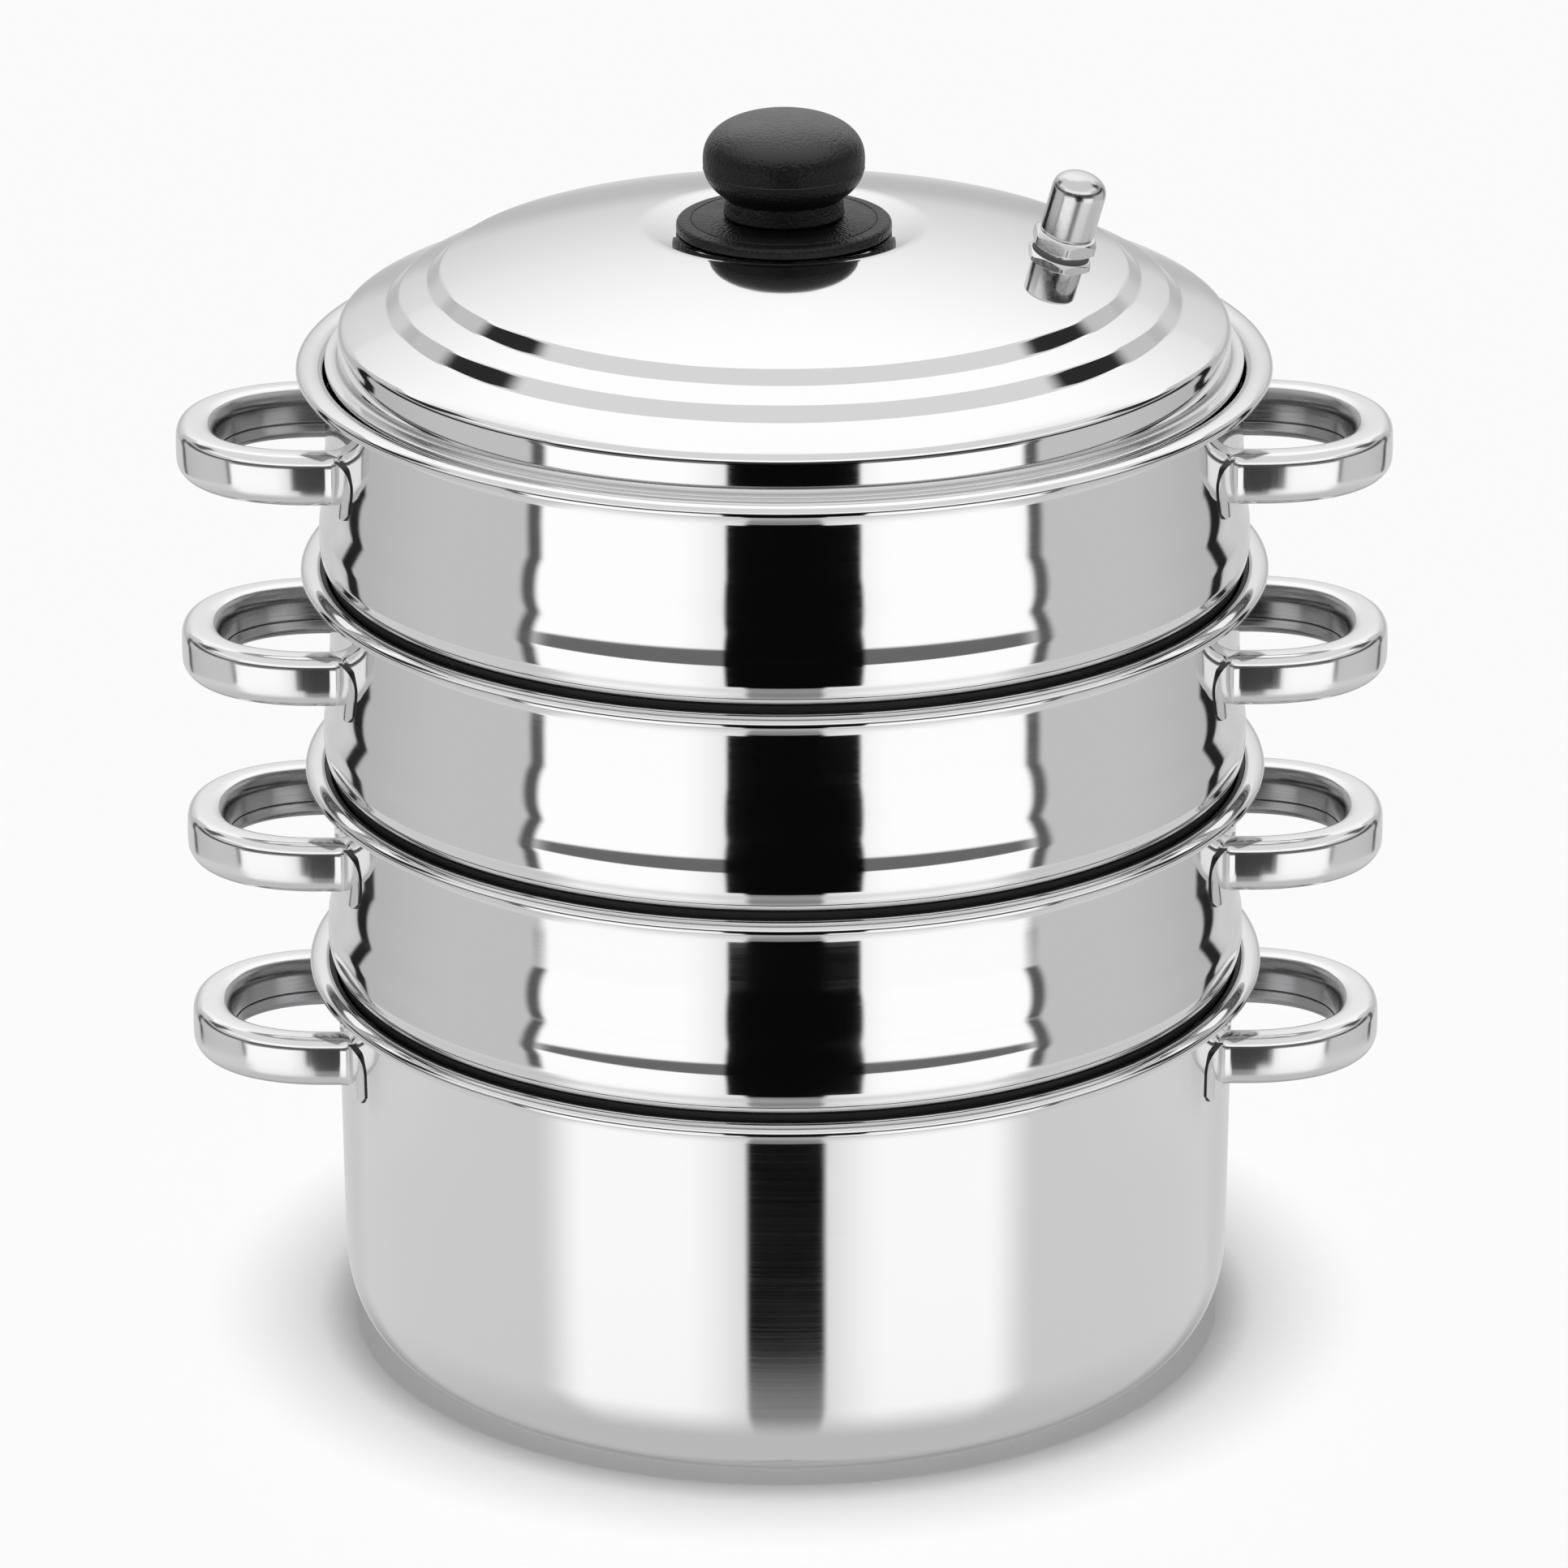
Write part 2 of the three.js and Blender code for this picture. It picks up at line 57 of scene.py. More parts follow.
def rounded(corners, steps=5):  # corners are (r, z) or (r, z, radius)
    points = []
    for i, corner in enumerate(corners):
        here = Vector(corner[:2])
        radius = corner[2] if len(corner) > 2 else 0
        if radius == 0 or i == 0 or i == len(corners) - 1:
            points.append(tuple(here))
            continue
        back = Vector(corners[i - 1][:2]) - here
        ahead = Vector(corners[i + 1][:2]) - here
        half = back.angle(ahead) / 2
        reach = min(radius / math.tan(half), cornerShare * back.length, cornerShare * ahead.length)
        start = here + back.normalized() * reach
        end = here + ahead.normalized() * reach
        for k in range(steps + 1):  # quadratic blend, near a circle for these small corners
            t = k / steps
            points.append(tuple(start * (1 - t) ** 2 + here * 2 * t * (1 - t) + end * t ** 2))
    return points


def fullCurve(a, b, z, power, fromDeg, toDeg, steps):  # superellipse, fuller than an ellipse
    points = []
    for i in range(steps + 1):
        angle = math.radians(fromDeg + (toDeg - fromDeg) * i / steps)
        c, s = math.cos(angle), math.sin(angle)
        points.append((a * abs(c) ** (2 / power), z + b * math.copysign(abs(s) ** (2 / power), s)))
    return points


def smoothStep(t):
    return t * t * (3 - 2 * t)


# meshes

def makePiece(name, verts, faces, material, others=(), sharpDeg=32):  # others: (finish, test of a face)
    mesh = bpy.data.meshes.new(name)
    mesh.from_pydata([(x * mm, y * mm, z * mm) for x, y, z in verts], [], faces)
    mesh.validate()
    mesh.polygons.foreach_set("use_smooth", [True] * len(mesh.polygons))
    mesh.set_sharp_from_angle(angle=math.radians(sharpDeg))
    mesh.materials.append(material)
    for index, (other, test) in enumerate(others, 1):
        mesh.materials.append(other)
        for face in mesh.polygons:
            if test(face):
                face.material_index = index
    mesh.update()
    piece = bpy.data.objects.new(name, mesh)
    bpy.context.scene.collection.objects.link(piece)
    return piece


def faceSpot(face):  # radius and height of a face's middle, and how far the face looks outwards
    middle = face.center
    radius = math.hypot(middle.x, middle.y)
    outward = (face.normal.x * middle.x + face.normal.y * middle.y) / max(radius, 1e-9)
    return radius / mm, middle.z / mm, outward


def spinMesh(outline, sides):  # anticlockwise outline, closed on itself or ending on the axis
    verts, rings = [], []
    for r, z in outline:
        if r < 1e-6:
            rings.append([len(verts)])
            verts.append((0, 0, z))
        else:
            rings.append(list(range(len(verts), len(verts) + sides)))
            for j in range(sides):
                angle = 2 * math.pi * j / sides
                verts.append((r * math.cos(angle), r * math.sin(angle), z))
    pairs = list(zip(rings, rings[1:]))
    if len(rings[0]) > 1 and len(rings[-1]) > 1:
        pairs.append((rings[-1], rings[0]))
    faces = []
    for low, high in pairs:
        for j in range(sides):
            k = (j + 1) % sides
            if len(low) == 1 and len(high) == 1:
                continue
            if len(low) == 1:
                faces.append((low[0], high[k], high[j]))
            elif len(high) == 1:
                faces.append((low[j], low[k], high[0]))
            else:
                faces.append((low[j], low[k], high[k], high[j]))
    return verts, faces


def placed(verts, matrix):
    return [tuple(matrix @ Vector(v)) for v in verts]


def joined(*parts):
    verts, faces = [], []
    for partVerts, partFaces in parts:
        base = len(verts)
        verts.extend(partVerts)
        faces.extend(tuple(i + base for i in face) for face in partFaces)
    return verts, faces


def handIn(piece, body, slot, *nodes):
    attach(piece, body)
    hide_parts(*nodes)


# shader helpers

def newMaterial(look):
    material = bpy.data.materials.new(look["name"])
    material.use_nodes = True
    tree = material.node_tree
    bsdf = tree.nodes["Principled BSDF"]
    bsdf.inputs["Base Color"].default_value = (*look["colour"], 1)
    return material, tree, bsdf


def feed(tree, socket, value):  # links a socket, or sets its plain value
    if isinstance(value, bpy.types.NodeSocket):
        tree.links.new(value, socket)
    else:
        socket.default_value = value


def addNode(tree, kind, inputs=None, **settings):
    node = tree.nodes.new(kind)
    for key, value in settings.items():
        setattr(node, key, value)
    for key, value in (inputs or {}).items():
        feed(tree, node.inputs[key], value)
    return node


def doMath(tree, operation, *values):
    node = addNode(tree, "ShaderNodeMath", dict(enumerate(values)), operation=operation)
    return node.outputs[0]


def mapRange(tree, value, fromMin, fromMax, toMin, toMax, smooth=False):
    ends = {"Value": value, "From Min": fromMin, "From Max": fromMax, "To Min": toMin, "To Max": toMax}
    kind = "SMOOTHSTEP" if smooth else "LINEAR"
    return addNode(tree, "ShaderNodeMapRange", ends, interpolation_type=kind).outputs["Result"]


def addNoise(tree, coords, scale, detail):
    inputs = {"Vector": coords, "Scale": scale, "Detail": detail}
    return addNode(tree, "ShaderNodeTexNoise", inputs).outputs["Fac"]


def addBump(tree, height, distance, invert=False, **more):
    inputs = {"Height": height, "Distance": distance, "Strength": 1.0, **more}
    return addNode(tree, "ShaderNodeBump", inputs, invert=invert).outputs["Normal"]


def objectCoords(tree):
    return addNode(tree, "ShaderNodeTexCoord").outputs["Object"]


def polishLines(tree, across, along, upright=False):  # fine lines round the axis of the pot, or upright
    coords = objectCoords(tree)
    x, y, z = addNode(tree, "ShaderNodeSeparateXYZ", {0: coords}).outputs
    squares = doMath(tree, "ADD", doMath(tree, "MULTIPLY", x, x), doMath(tree, "MULTIPLY", y, y))
    reach = doMath(tree, "ADD", doMath(tree, "SQRT", squares), z)
    vector = addNode(tree, "ShaderNodeCombineXYZ", {
        0: doMath(tree, "MULTIPLY", x, along),
        1: doMath(tree, "MULTIPLY", y, along),
        2: doMath(tree, "MULTIPLY", z if upright else reach, across),
    }).outputs[0]
    return addNoise(tree, vector, 1.0, 3.0), coords


# finishes

noiseSpan = (0.3, 0.7)  # most of a noise lies between these
blendSpan = (0.35, 0.65)  # and of the mean of two noises

polishedSteelLook = dict(
    name="polishedSteel", colour=(0.74, 0.74, 0.745), rough=(0.035, 0.07), waveScale=16, waveHeight=0.00004,
    lineAcross=2600, lineAlong=14, lineHeight=0.0000007, smudgeScale=26)
foldedSteelLook = dict(
    name="foldedSteel", colour=(0.76, 0.76, 0.765), metal=0.9, rough=(0.1, 0.16), waveScale=40,
    waveHeight=0.00003, lineAcross=60, lineAlong=1100, lineHeight=0.0000012, smudgeScale=60, upright=True)
# brushed inside of the loop, rougher than the outside; its darker colour is also painted shade between loop and
# wall
loopInsideLook = dict(
    name="loopInsideSteel", colour=(0.38, 0.38, 0.385), rough=(0.17, 0.32), waveScale=60, waveHeight=0.00003,
    lineAcross=1500, lineAlong=40, lineHeight=0.000012, smudgeScale=60, upright=True)
# painted shade: a near-black steel that stands in for the shade in narrow gaps
paintedShadeLook = dict(
    name="paintedShadeSteel", colour=(0.045, 0.045, 0.045), rough=(0.38, 0.52), waveScale=40, waveHeight=0.00002,
    lineAcross=2000, lineAlong=20, lineHeight=0.000006, smudgeScale=40)


def makeSheetSteel(look):
    material, tree, bsdf = newMaterial(look)
    bsdf.inputs["Metallic"].default_value = look.get("metal", 1.0)  # under 1 is the haze of a brushed fold
    lines, coords = polishLines(tree, look["lineAcross"], look["lineAlong"], look.get("upright", False))
    smudge = addNoise(tree, coords, look["smudgeScale"], 4.0)
    blend = doMath(tree, "MULTIPLY", doMath(tree, "ADD", lines, smudge), 0.5)
    tree.links.new(mapRange(tree, blend, *blendSpan, *look["rough"]), bsdf.inputs["Roughness"])
    wave = addNoise(tree, coords, look["waveScale"], 1.0)
    slow = addBump(tree, wave, look["waveHeight"])
    fine = addBump(tree, lines, look["lineHeight"], Normal=slow)
    tree.links.new(fine, bsdf.inputs["Normal"])
    return material


satinSteelLook = dict(
    name="satinSteel", colour=(0.66, 0.66, 0.665), rough=(0.22, 0.34), lineAcross=1900, lineAlong=10,
    lineHeight=0.000006)


def makeSatinSteel(look):
    material, tree, bsdf = newMaterial(look)
    bsdf.inputs["Metallic"].default_value = 1.0
    lines, _ = polishLines(tree, look["lineAcross"], look["lineAlong"])
    tree.links.new(mapRange(tree, lines, *noiseSpan, *look["rough"]), bsdf.inputs["Roughness"])
    tree.links.new(addBump(tree, lines, look["lineHeight"]), bsdf.inputs["Normal"])
    return material


turnedSteelLook = dict(
    name="turnedSteel", colour=(0.64, 0.64, 0.645), rough=(0.15, 0.23), grainScale=900, grainHeight=0.000003,
    ringScale=2100, ringShare=0.12)


def makeTurnedSteel(look):  # small turned fittings: tool rings along the height and a light grain
    material, tree, bsdf = newMaterial(look)
    bsdf.inputs["Metallic"].default_value = 1.0
    coords = objectCoords(tree)
    grain = addNoise(tree, coords, look["grainScale"], 3.0)
    height = addNode(tree, "ShaderNodeSeparateXYZ", {0: coords}).outputs["Z"]
    rings = doMath(tree, "SINE", doMath(tree, "MULTIPLY", height, look["ringScale"] * math.pi))
    tree.links.new(mapRange(tree, grain, *noiseSpan, *look["rough"]), bsdf.inputs["Roughness"])
    relief = doMath(tree, "ADD", grain, doMath(tree, "MULTIPLY", rings, look["ringShare"]))
    tree.links.new(addBump(tree, relief, look["grainHeight"]), bsdf.inputs["Normal"])
    return material


# painted highlight: shine runs from the sides' value up to the top's
knobMouldingLook = dict(
    name="knobMoulding", colour=(0.006, 0.006, 0.0062), shine=(0.28, 1.0), topFacing=(0.25, 0.95),
    rough=(0.34, 0.44), hazeScale=90, pebbleScale=1200, pebbleSoft=0.6, pebbleHeight=0.00018)
# painted shade: the disc's top gets less shine than its rim, as if shaded by the knob above
discMouldingLook = dict(knobMouldingLook, name="discMoulding", shine=(0.35, 0.2), rough=(0.3, 0.4))


def makeBlackMoulding(look):  # pebble grain; painted highlight: the top gets more shine than the sides, as if lit from above
    material, tree, bsdf = newMaterial(look)
    facing = addNode(tree, "ShaderNodeNewGeometry").outputs["Normal"]
    upward = addNode(tree, "ShaderNodeSeparateXYZ", {0: facing}).outputs["Z"]
    shine = mapRange(tree, upward, *look["topFacing"], *look["shine"], True)
    tree.links.new(shine, bsdf.inputs["Specular IOR Level"])
    coords = objectCoords(tree)
    inputs = {"Vector": coords, "Scale": look["pebbleScale"], "Smoothness": look["pebbleSoft"]}
    pebble = addNode(tree, "ShaderNodeTexVoronoi", inputs, feature="SMOOTH_F1")
    haze = addNoise(tree, coords, look["hazeScale"], 3.0)
    tree.links.new(mapRange(tree, haze, *noiseSpan, *look["rough"]), bsdf.inputs["Roughness"])
    grain = addBump(tree, pebble.outputs["Distance"], look["pebbleHeight"], invert=True)
    tree.links.new(grain, bsdf.inputs["Normal"])
    return material


greyRubberLook = dict(
    name="greyRubber", colour=(0.06, 0.06, 0.062), rough=(0.62, 0.78), grainScale=700, grainHeight=0.00003)


def makeGreyRubber(look):
    material, tree, bsdf = newMaterial(look)
    grain = addNoise(tree, objectCoords(tree), look["grainScale"], 4.0)
    tree.links.new(mapRange(tree, grain, *noiseSpan, *look["rough"]), bsdf.inputs["Roughness"])
    tree.links.new(addBump(tree, grain, look["grainHeight"]), bsdf.inputs["Normal"])
    return material


polishedSteel = makeSheetSteel(polishedSteelLook)
foldedSteel = makeSheetSteel(foldedSteelLook)
loopInsideSteel = makeSheetSteel(loopInsideLook)
paintedShadeSteel = makeSheetSteel(paintedShadeLook)  # painted shade: near-black steel laid where shade falls in narrow gaps between parts
satinSteel = makeSatinSteel(satinSteelLook)
turnedSteel = makeTurnedSteel(turnedSteelLook)
knobMoulding = makeBlackMoulding(knobMouldingLook)
discMoulding = makeBlackMoulding(discMouldingLook)
greyRubber = makeGreyRubber(greyRubberLook)
print("finishes ready")


# lip that every vessel has, heights from its outer edge
lip = dict(
    wall=120.0, sheet=1.0, reach=7.2, crest=3.6, rise=2.4, drop=6.0, flare=6.5, edge=0.8, edgeRound=0.3,
    edgeTrim=0.1, hem=1.0, seatGap=0.35)
innerWall = lip["wall"] - lip["sheet"]
crestRadius = lip["wall"] + lip["crest"]
edgeRadius = lip["wall"] + lip["reach"]
roundSides = 256


def lipOutline(z):  # from the outer wall over the crest to the inner wall
    centre = z + lip["rise"] - lip["drop"]
    low, high = z - lip["edge"] / 2, z + lip["edge"] / 2
    flareLow = z + lip["rise"] - lip["sheet"] - lip["flare"]
    under = arcPoints(crestRadius, flareLow, lip["crest"], lip["flare"], 180, 90, 24)
    hem = arcPoints(crestRadius, low, lip["reach"] - lip["crest"] - lip["hem"],
                    lip["rise"] - lip["sheet"] + lip["edge"] / 2, 80, 0, 8)
    edge = rounded([hem[-1], (edgeRadius, low, lip["edgeRound"]), (edgeRadius, high - lip["edgeTrim"])])[1:]
    over = arcPoints(crestRadius, high, lip["reach"] - lip["crest"], lip["rise"] - lip["edge"] / 2, 0, 90, 12)
    inside = arcPoints(crestRadius, centre, crestRadius - innerWall, lip["drop"], 90, 180, 16)
    return under + hem + edge + over + inside[1:]


def seatPoint(z, degrees):  # on the lip's inner curve, moved clear of it
    angle = math.radians(degrees)
    a = crestRadius - innerWall
    normal = Vector((math.cos(angle) / a, math.sin(angle) / lip["drop"])).normalized() * lip["seatGap"]
    centre = z + lip["rise"] - lip["drop"]
    return crestRadius + a * math.cos(angle) + normal.x, centre + lip["drop"] * math.sin(angle) + normal.y


# base pot
pot = dict(
    height=102.3, taper=0.7, cornerWide=14.0, cornerHigh=22.5, flat=60.0, wallRings=(40, 60, 80),
    handleDrop=12.0)


def potRadius(z):
    fall = (pot["height"] - z) / (pot["height"] - pot["cornerHigh"])
    return lip["wall"] - pot["taper"] * min(1, max(0, fall))


def buildPot():
    sheet, wide, high, flat = lip["sheet"], pot["cornerWide"], pot["cornerHigh"], pot["flat"]
    centre = lip["wall"] - pot["taper"] - wide
    outside = arcPoints(centre, high, wide, high, -90, 0, 24)
    inside = arcPoints(centre, high, wide - sheet, high - sheet, 0, -90, 20)
    wall = [(potRadius(z), z) for z in pot["wallRings"]]
    outline = [(0, 0), (flat, 0)] + outside + wall + lipOutline(pot["height"])
    outline += inside + [(flat, sheet), (0, sheet)]
    piece = makePiece("basePot", *spinMesh(outline, roundSides), polishedSteel)
    handIn(piece, "base", "polished_steel", "base_pot")


# steaming tiers, heights from the lip's edge of the vessel below
tier = dict(
    pitch=55.2, shoulderTop=36.5, shoulderLow=22.5, shoulderOut=1.0, coveOut=1.0, beadTop=14.4, beadLow=7.4,
    beadBarrel=0.2, beadPeak=0.2, beadRows=10, underDrop=4.0, underDeg=-86, wallStart=0.15, wallStep=0.75,
    wallRows=31, wallHigh=(42.5, 46), insideHigh=44, insideTop=38.4, insideStep=1.2, insideRows=20,
    spigotDepth=11.0, spigotTop=-4.0, spigotCorner=2.6, seatDeg=(176, 132), ledgeWide=9.0, pocketTop=10.4,
    pocketRounds=(1.4, 0.8, 0.8, 1.5, 1.8), grooveInset=1.6, grooveLow=0.5, grooveBack=0.6, outFacing=0.1,
    downFacing=-0.3, handleDrops=(12.0, 15.2, 15.2))
spigotRadius = innerWall - lip["seatGap"]
hipRadius = lip["wall"] + tier["shoulderOut"]
beadRadius = hipRadius + tier["coveOut"]


def tierRadius(height):  # wall above the bead: a soft shoulder, then a cove that runs out to the bead
    t = (height - tier["shoulderLow"]) / (tier["shoulderTop"] - tier["shoulderLow"])
    cove = max(0, tier["shoulderLow"] - height) / (tier["shoulderLow"] - tier["beadTop"])
    shoulder = 1 - smoothStep(min(1, max(0, t)))
    return lip["wall"] + tier["shoulderOut"] * shoulder + tier["coveOut"] * cove ** 2


def tierOutline(z):
    sheet, low, high = lip["sheet"], z + tier["beadLow"], z + tier["beadTop"]
    floor = z - tier["spigotDepth"]
    ledge = spigotRadius - sheet - tier["ledgeWide"]
    lowDeg, highDeg = tier["seatDeg"]
    neck, seatTop = seatPoint(z, highDeg)
    foot = rounded([(ledge, floor), (spigotRadius, floor, tier["spigotCorner"]),
                    (spigotRadius, z + tier["spigotTop"])])
    seat = [seatPoint(z, lowDeg + (highDeg - lowDeg) * i / 10) for i in range(11)]
    under = arcPoints(neck, low, beadRadius - neck, tier["underDrop"], tier["underDeg"], 0, 10)
    bead = []
    for i in range(1, tier["beadRows"]):
        t = i / tier["beadRows"]
        off = (t - tier["beadPeak"]) / (1 - tier["beadPeak"] if t > tier["beadPeak"] else tier["beadPeak"])
        bead.append((beadRadius + tier["beadBarrel"] * (1 - off ** 2), low + (high - low) * t))
    rows = [tier["beadTop"] + tier["wallStart"] + tier["wallStep"] * i for i in range(tier["wallRows"])]
    wall = [(tierRadius(h), z + h) for h in rows + list(tier["wallHigh"])]
    outside = foot + seat + [(neck, low - tier["underDrop"])] + under + bead + wall
    rows = [tier["insideTop"] - tier["insideStep"] * i for i in range(tier["insideRows"])]
    insideWall = [(tierRadius(h) - sheet, z + h) for h in [tier["insideHigh"]] + rows]
    innerNeck, innerSpigot = neck - sheet, spigotRadius - sheet
    atBead, atNeck, atSeat, atSpigot, atLedge = tier["pocketRounds"]
    pocket = rounded([(beadRadius + tier["beadBarrel"] - sheet, z + tier["pocketTop"]),
                      (beadRadius - sheet, low - sheet, atBead),
                      (innerNeck, low - tier["underDrop"] + sheet, atNeck),
                      (innerNeck, seatTop, atSeat),
                      (innerSpigot, seatPoint(z, lowDeg)[1], atSpigot),
                      (innerSpigot, floor + sheet, atLedge),
                      (ledge, floor + sheet)])
    return outside + lipOutline(z + tier["pitch"]) + insideWall + pocket


# perforated steam plate on the ledge
plate = dict(
    thick=1.0, margin=3.2, gap=0.3, rimSides=160, holeRadius=4.5, holeSides=28,
    rings=((0, 1), (44, 6), (86, 12)))  # radius and number of holes


def plateMesh(z):
    form = bmesh.new()
    rimRadius = spigotRadius - lip["sheet"] - plate["margin"]
    loops = [(0, 0, rimRadius, plate["rimSides"])]
    for ringRadius, count in plate["rings"]:
        for i in range(count):
            angle = 2 * math.pi * i / count
            x, y = ringRadius * math.cos(angle), ringRadius * math.sin(angle)
            loops.append((x, y, plate["holeRadius"], plate["holeSides"]))
    edges = []
    for x, y, radius, sides in loops:
        turns = [2 * math.pi * k / sides for k in range(sides)]
        spots = [(x + radius * math.cos(turn), y + radius * math.sin(turn), z) for turn in turns]
        ring = [form.verts.new(spot) for spot in spots]
        edges += [form.edges.new((ring[k], ring[(k + 1) % sides])) for k in range(sides)]
    bmesh.ops.triangle_fill(form, use_beauty=True, edges=edges, normal=(0, 0, 1))
    grown = bmesh.ops.extrude_face_region(form, geom=form.faces[:])
    lifted = [v for v in grown["geom"] if isinstance(v, bmesh.types.BMVert)]
    bmesh.ops.translate(form, vec=(0, 0, plate["thick"]), verts=lifted)
    bmesh.ops.recalc_face_normals(form, faces=form.faces[:])
    form.verts.index_update()
    verts = [tuple(v.co) for v in form.verts]
    faces = [tuple(v.index for v in f.verts) for f in form.faces]
    form.free()
    return verts, faces


def buildTier(number):
    z = pot["height"] + (number - 1) * tier["pitch"]
    body = "tier_%d" % number
    def inShadedGroove(face):  # between the bead and the lip below: painted shade in the gap
        radius, height, outward = faceSpot(face)
        looksOut = outward > tier["outFacing"] or face.normal.z < tier["downFacing"]
        inReach = spigotRadius - tier["grooveBack"] < radius < beadRadius - tier["grooveInset"]
        return looksOut and inReach and z + tier["grooveLow"] < height < z + tier["beadLow"]
    outline = spinMesh(tierOutline(z), roundSides)
    shell = makePiece("tierShell%d" % number, *outline, polishedSteel, [(paintedShadeSteel, inShadedGroove)])
    handIn(shell, body, "polished_steel", body + "_shell")
    floor = z - tier["spigotDepth"] + lip["sheet"] + plate["gap"]
    steamPlate = makePiece("steamPlate%d" % number, *plateMesh(floor), satinSteel)
    handIn(steamPlate, body, "satin_steel", body + "_plate")


# loop handles, folded from sheet with the seam on the inside of the loop
handle = dict(
    tall=14.0, wide=10.6, span=69.0, reach=39.2, armDeep=8.0, armStraight=1.5, armSteps=20, bowSteps=60,
    fullness=2.25, outerTop=2.8, outerLow=4.2, innerTop=4.4, innerLow=2.4, bulge=0.35, crown=0.25,
    sideRows=(-1.2, 0.2, 1.6), topRows=(1.0, 0.0), seamDrop=2.4, seamWide=0.7, seamDeep=0.6, seamLip=0.15,
    seamFloor=0.1, insideStrips=(28, 45), flare=4.0, flareSink=0.1, tabOut=11.5, tabLap=0.5, tabThick=1.0,
    tabEdge=0.4, tabSink=0.2, tabInset=0.5, tabRound=5.0, tabChamfer=2.6, tabColumns=40, tabRows=10,
    rimFacing=0.6, rimReach=2.4, rimStart=1.0)


def handleSection():  # u points out of the loop, w points up
    wide, tall = handle["wide"] / 2, handle["tall"] / 2
    bulge, crown = handle["bulge"], handle["crown"]
    low, high = handle["outerLow"], handle["outerTop"]
    innerLow, inner = handle["innerLow"], handle["innerTop"]
    seam, half, floor = -handle["seamDrop"], handle["seamWide"] / 2, handle["seamFloor"]
    lipU, floorU = -wide + handle["seamLip"], -wide + handle["seamDeep"]
    points = arcPoints(wide - bulge - low, -tall + low, low, low, -90, 0, 9)
    points += [(wide - bulge, w) for w in handle["sideRows"]]
    points += arcPoints(wide - bulge - high, tall - crown - high, high, high, 0, 90, 9)
    points += [(u, tall - crown) for u in handle["topRows"]]
    points += arcPoints(-wide + inner, tall - crown - inner, inner, inner, 90, 180, 9)
    points += [(-wide, seam + half), (lipU, seam + half / 2), (floorU, seam + floor)]
    points += [(floorU, seam - floor), (lipU, seam - half / 2), (-wide, seam - half)]
    points += arcPoints(-wide + innerLow, -tall + innerLow, innerLow, innerLow, 180, 270, 6)
    swollen = []
    for u, w in points:  # the outer face bulges a little and the top is crowned
        if u > 0:
            u += bulge * (1 - (w / tall) ** 2) * u / wide
        if w > 0:
            w += crown * (1 - (u / wide) ** 2) * w / tall
        swollen.append((u, w))
    return swollen


def handleRoute():  # (x, y, outward x, outward y) along the middle of the loop
    armY = (handle["span"] - handle["wide"]) / 2
    armEnd = lip["wall"] + handle["armStraight"]
    a = lip["wall"] + handle["reach"] - handle["wide"] / 2 - armEnd
    start, power = lip["wall"] - handle["armDeep"], handle["fullness"]
    steps = handle["armSteps"]
    front = [(start + (armEnd - start) * i / steps, -armY, 0, -1) for i in range(steps)]
    bow = []
    for i in range(handle["bowSteps"] + 1):
        angle = math.radians(-90 + 180 * i / handle["bowSteps"])
        c = abs(math.cos(angle)) ** (2 / power)
        s = math.copysign(abs(math.sin(angle)) ** (2 / power), angle)
        normal = Vector((c ** (power - 1) / a, math.copysign(abs(s) ** (power - 1), s) / armY)).normalized()
        bow.append((armEnd + a * c, armY * s, normal.x, normal.y))
    back = [(x, armY, 0, 1) for x, *_ in reversed(front)]
    return front + bow + back


def armFlare(x, radius):  # fillet of the arm's outer face into the weld tab
    wallX = math.sqrt(radius ** 2 - (handle["span"] / 2 + handle["flare"]) ** 2)
    gap = x - (wallX + handle["tabThick"] - handle["flareSink"])
    if gap >= handle["flare"]:
        return 0
    gap = max(gap, 0)
    return handle["flare"] - math.sqrt(handle["flare"] ** 2 - (handle["flare"] - gap) ** 2)


def loopMesh(middle, wallAt):
    section, route = handleSection(), handleRoute()
    wide = handle["wide"] / 2
    verts, faces = [], []
    for x, y, nx, ny in route:
        spread = armFlare(x, wallAt(middle))
        for u, w in section:
            out = u + spread * smoothStep(min(1, max(0, (u + wide) / (2 * wide))))
            verts.append((x + nx * out, y + ny * out, middle + w))
    count = len(section)
    for i in range(len(route) - 1):
        for k in range(count):
            n = (k + 1) % count
            faces.append((i * count + k, (i + 1) * count + k, (i + 1) * count + n, i * count + n))
    faces.append(tuple(range(count)))
    last = (len(route) - 1) * count
    faces.append(tuple(last + k for k in reversed(range(count))))
    return verts, faces


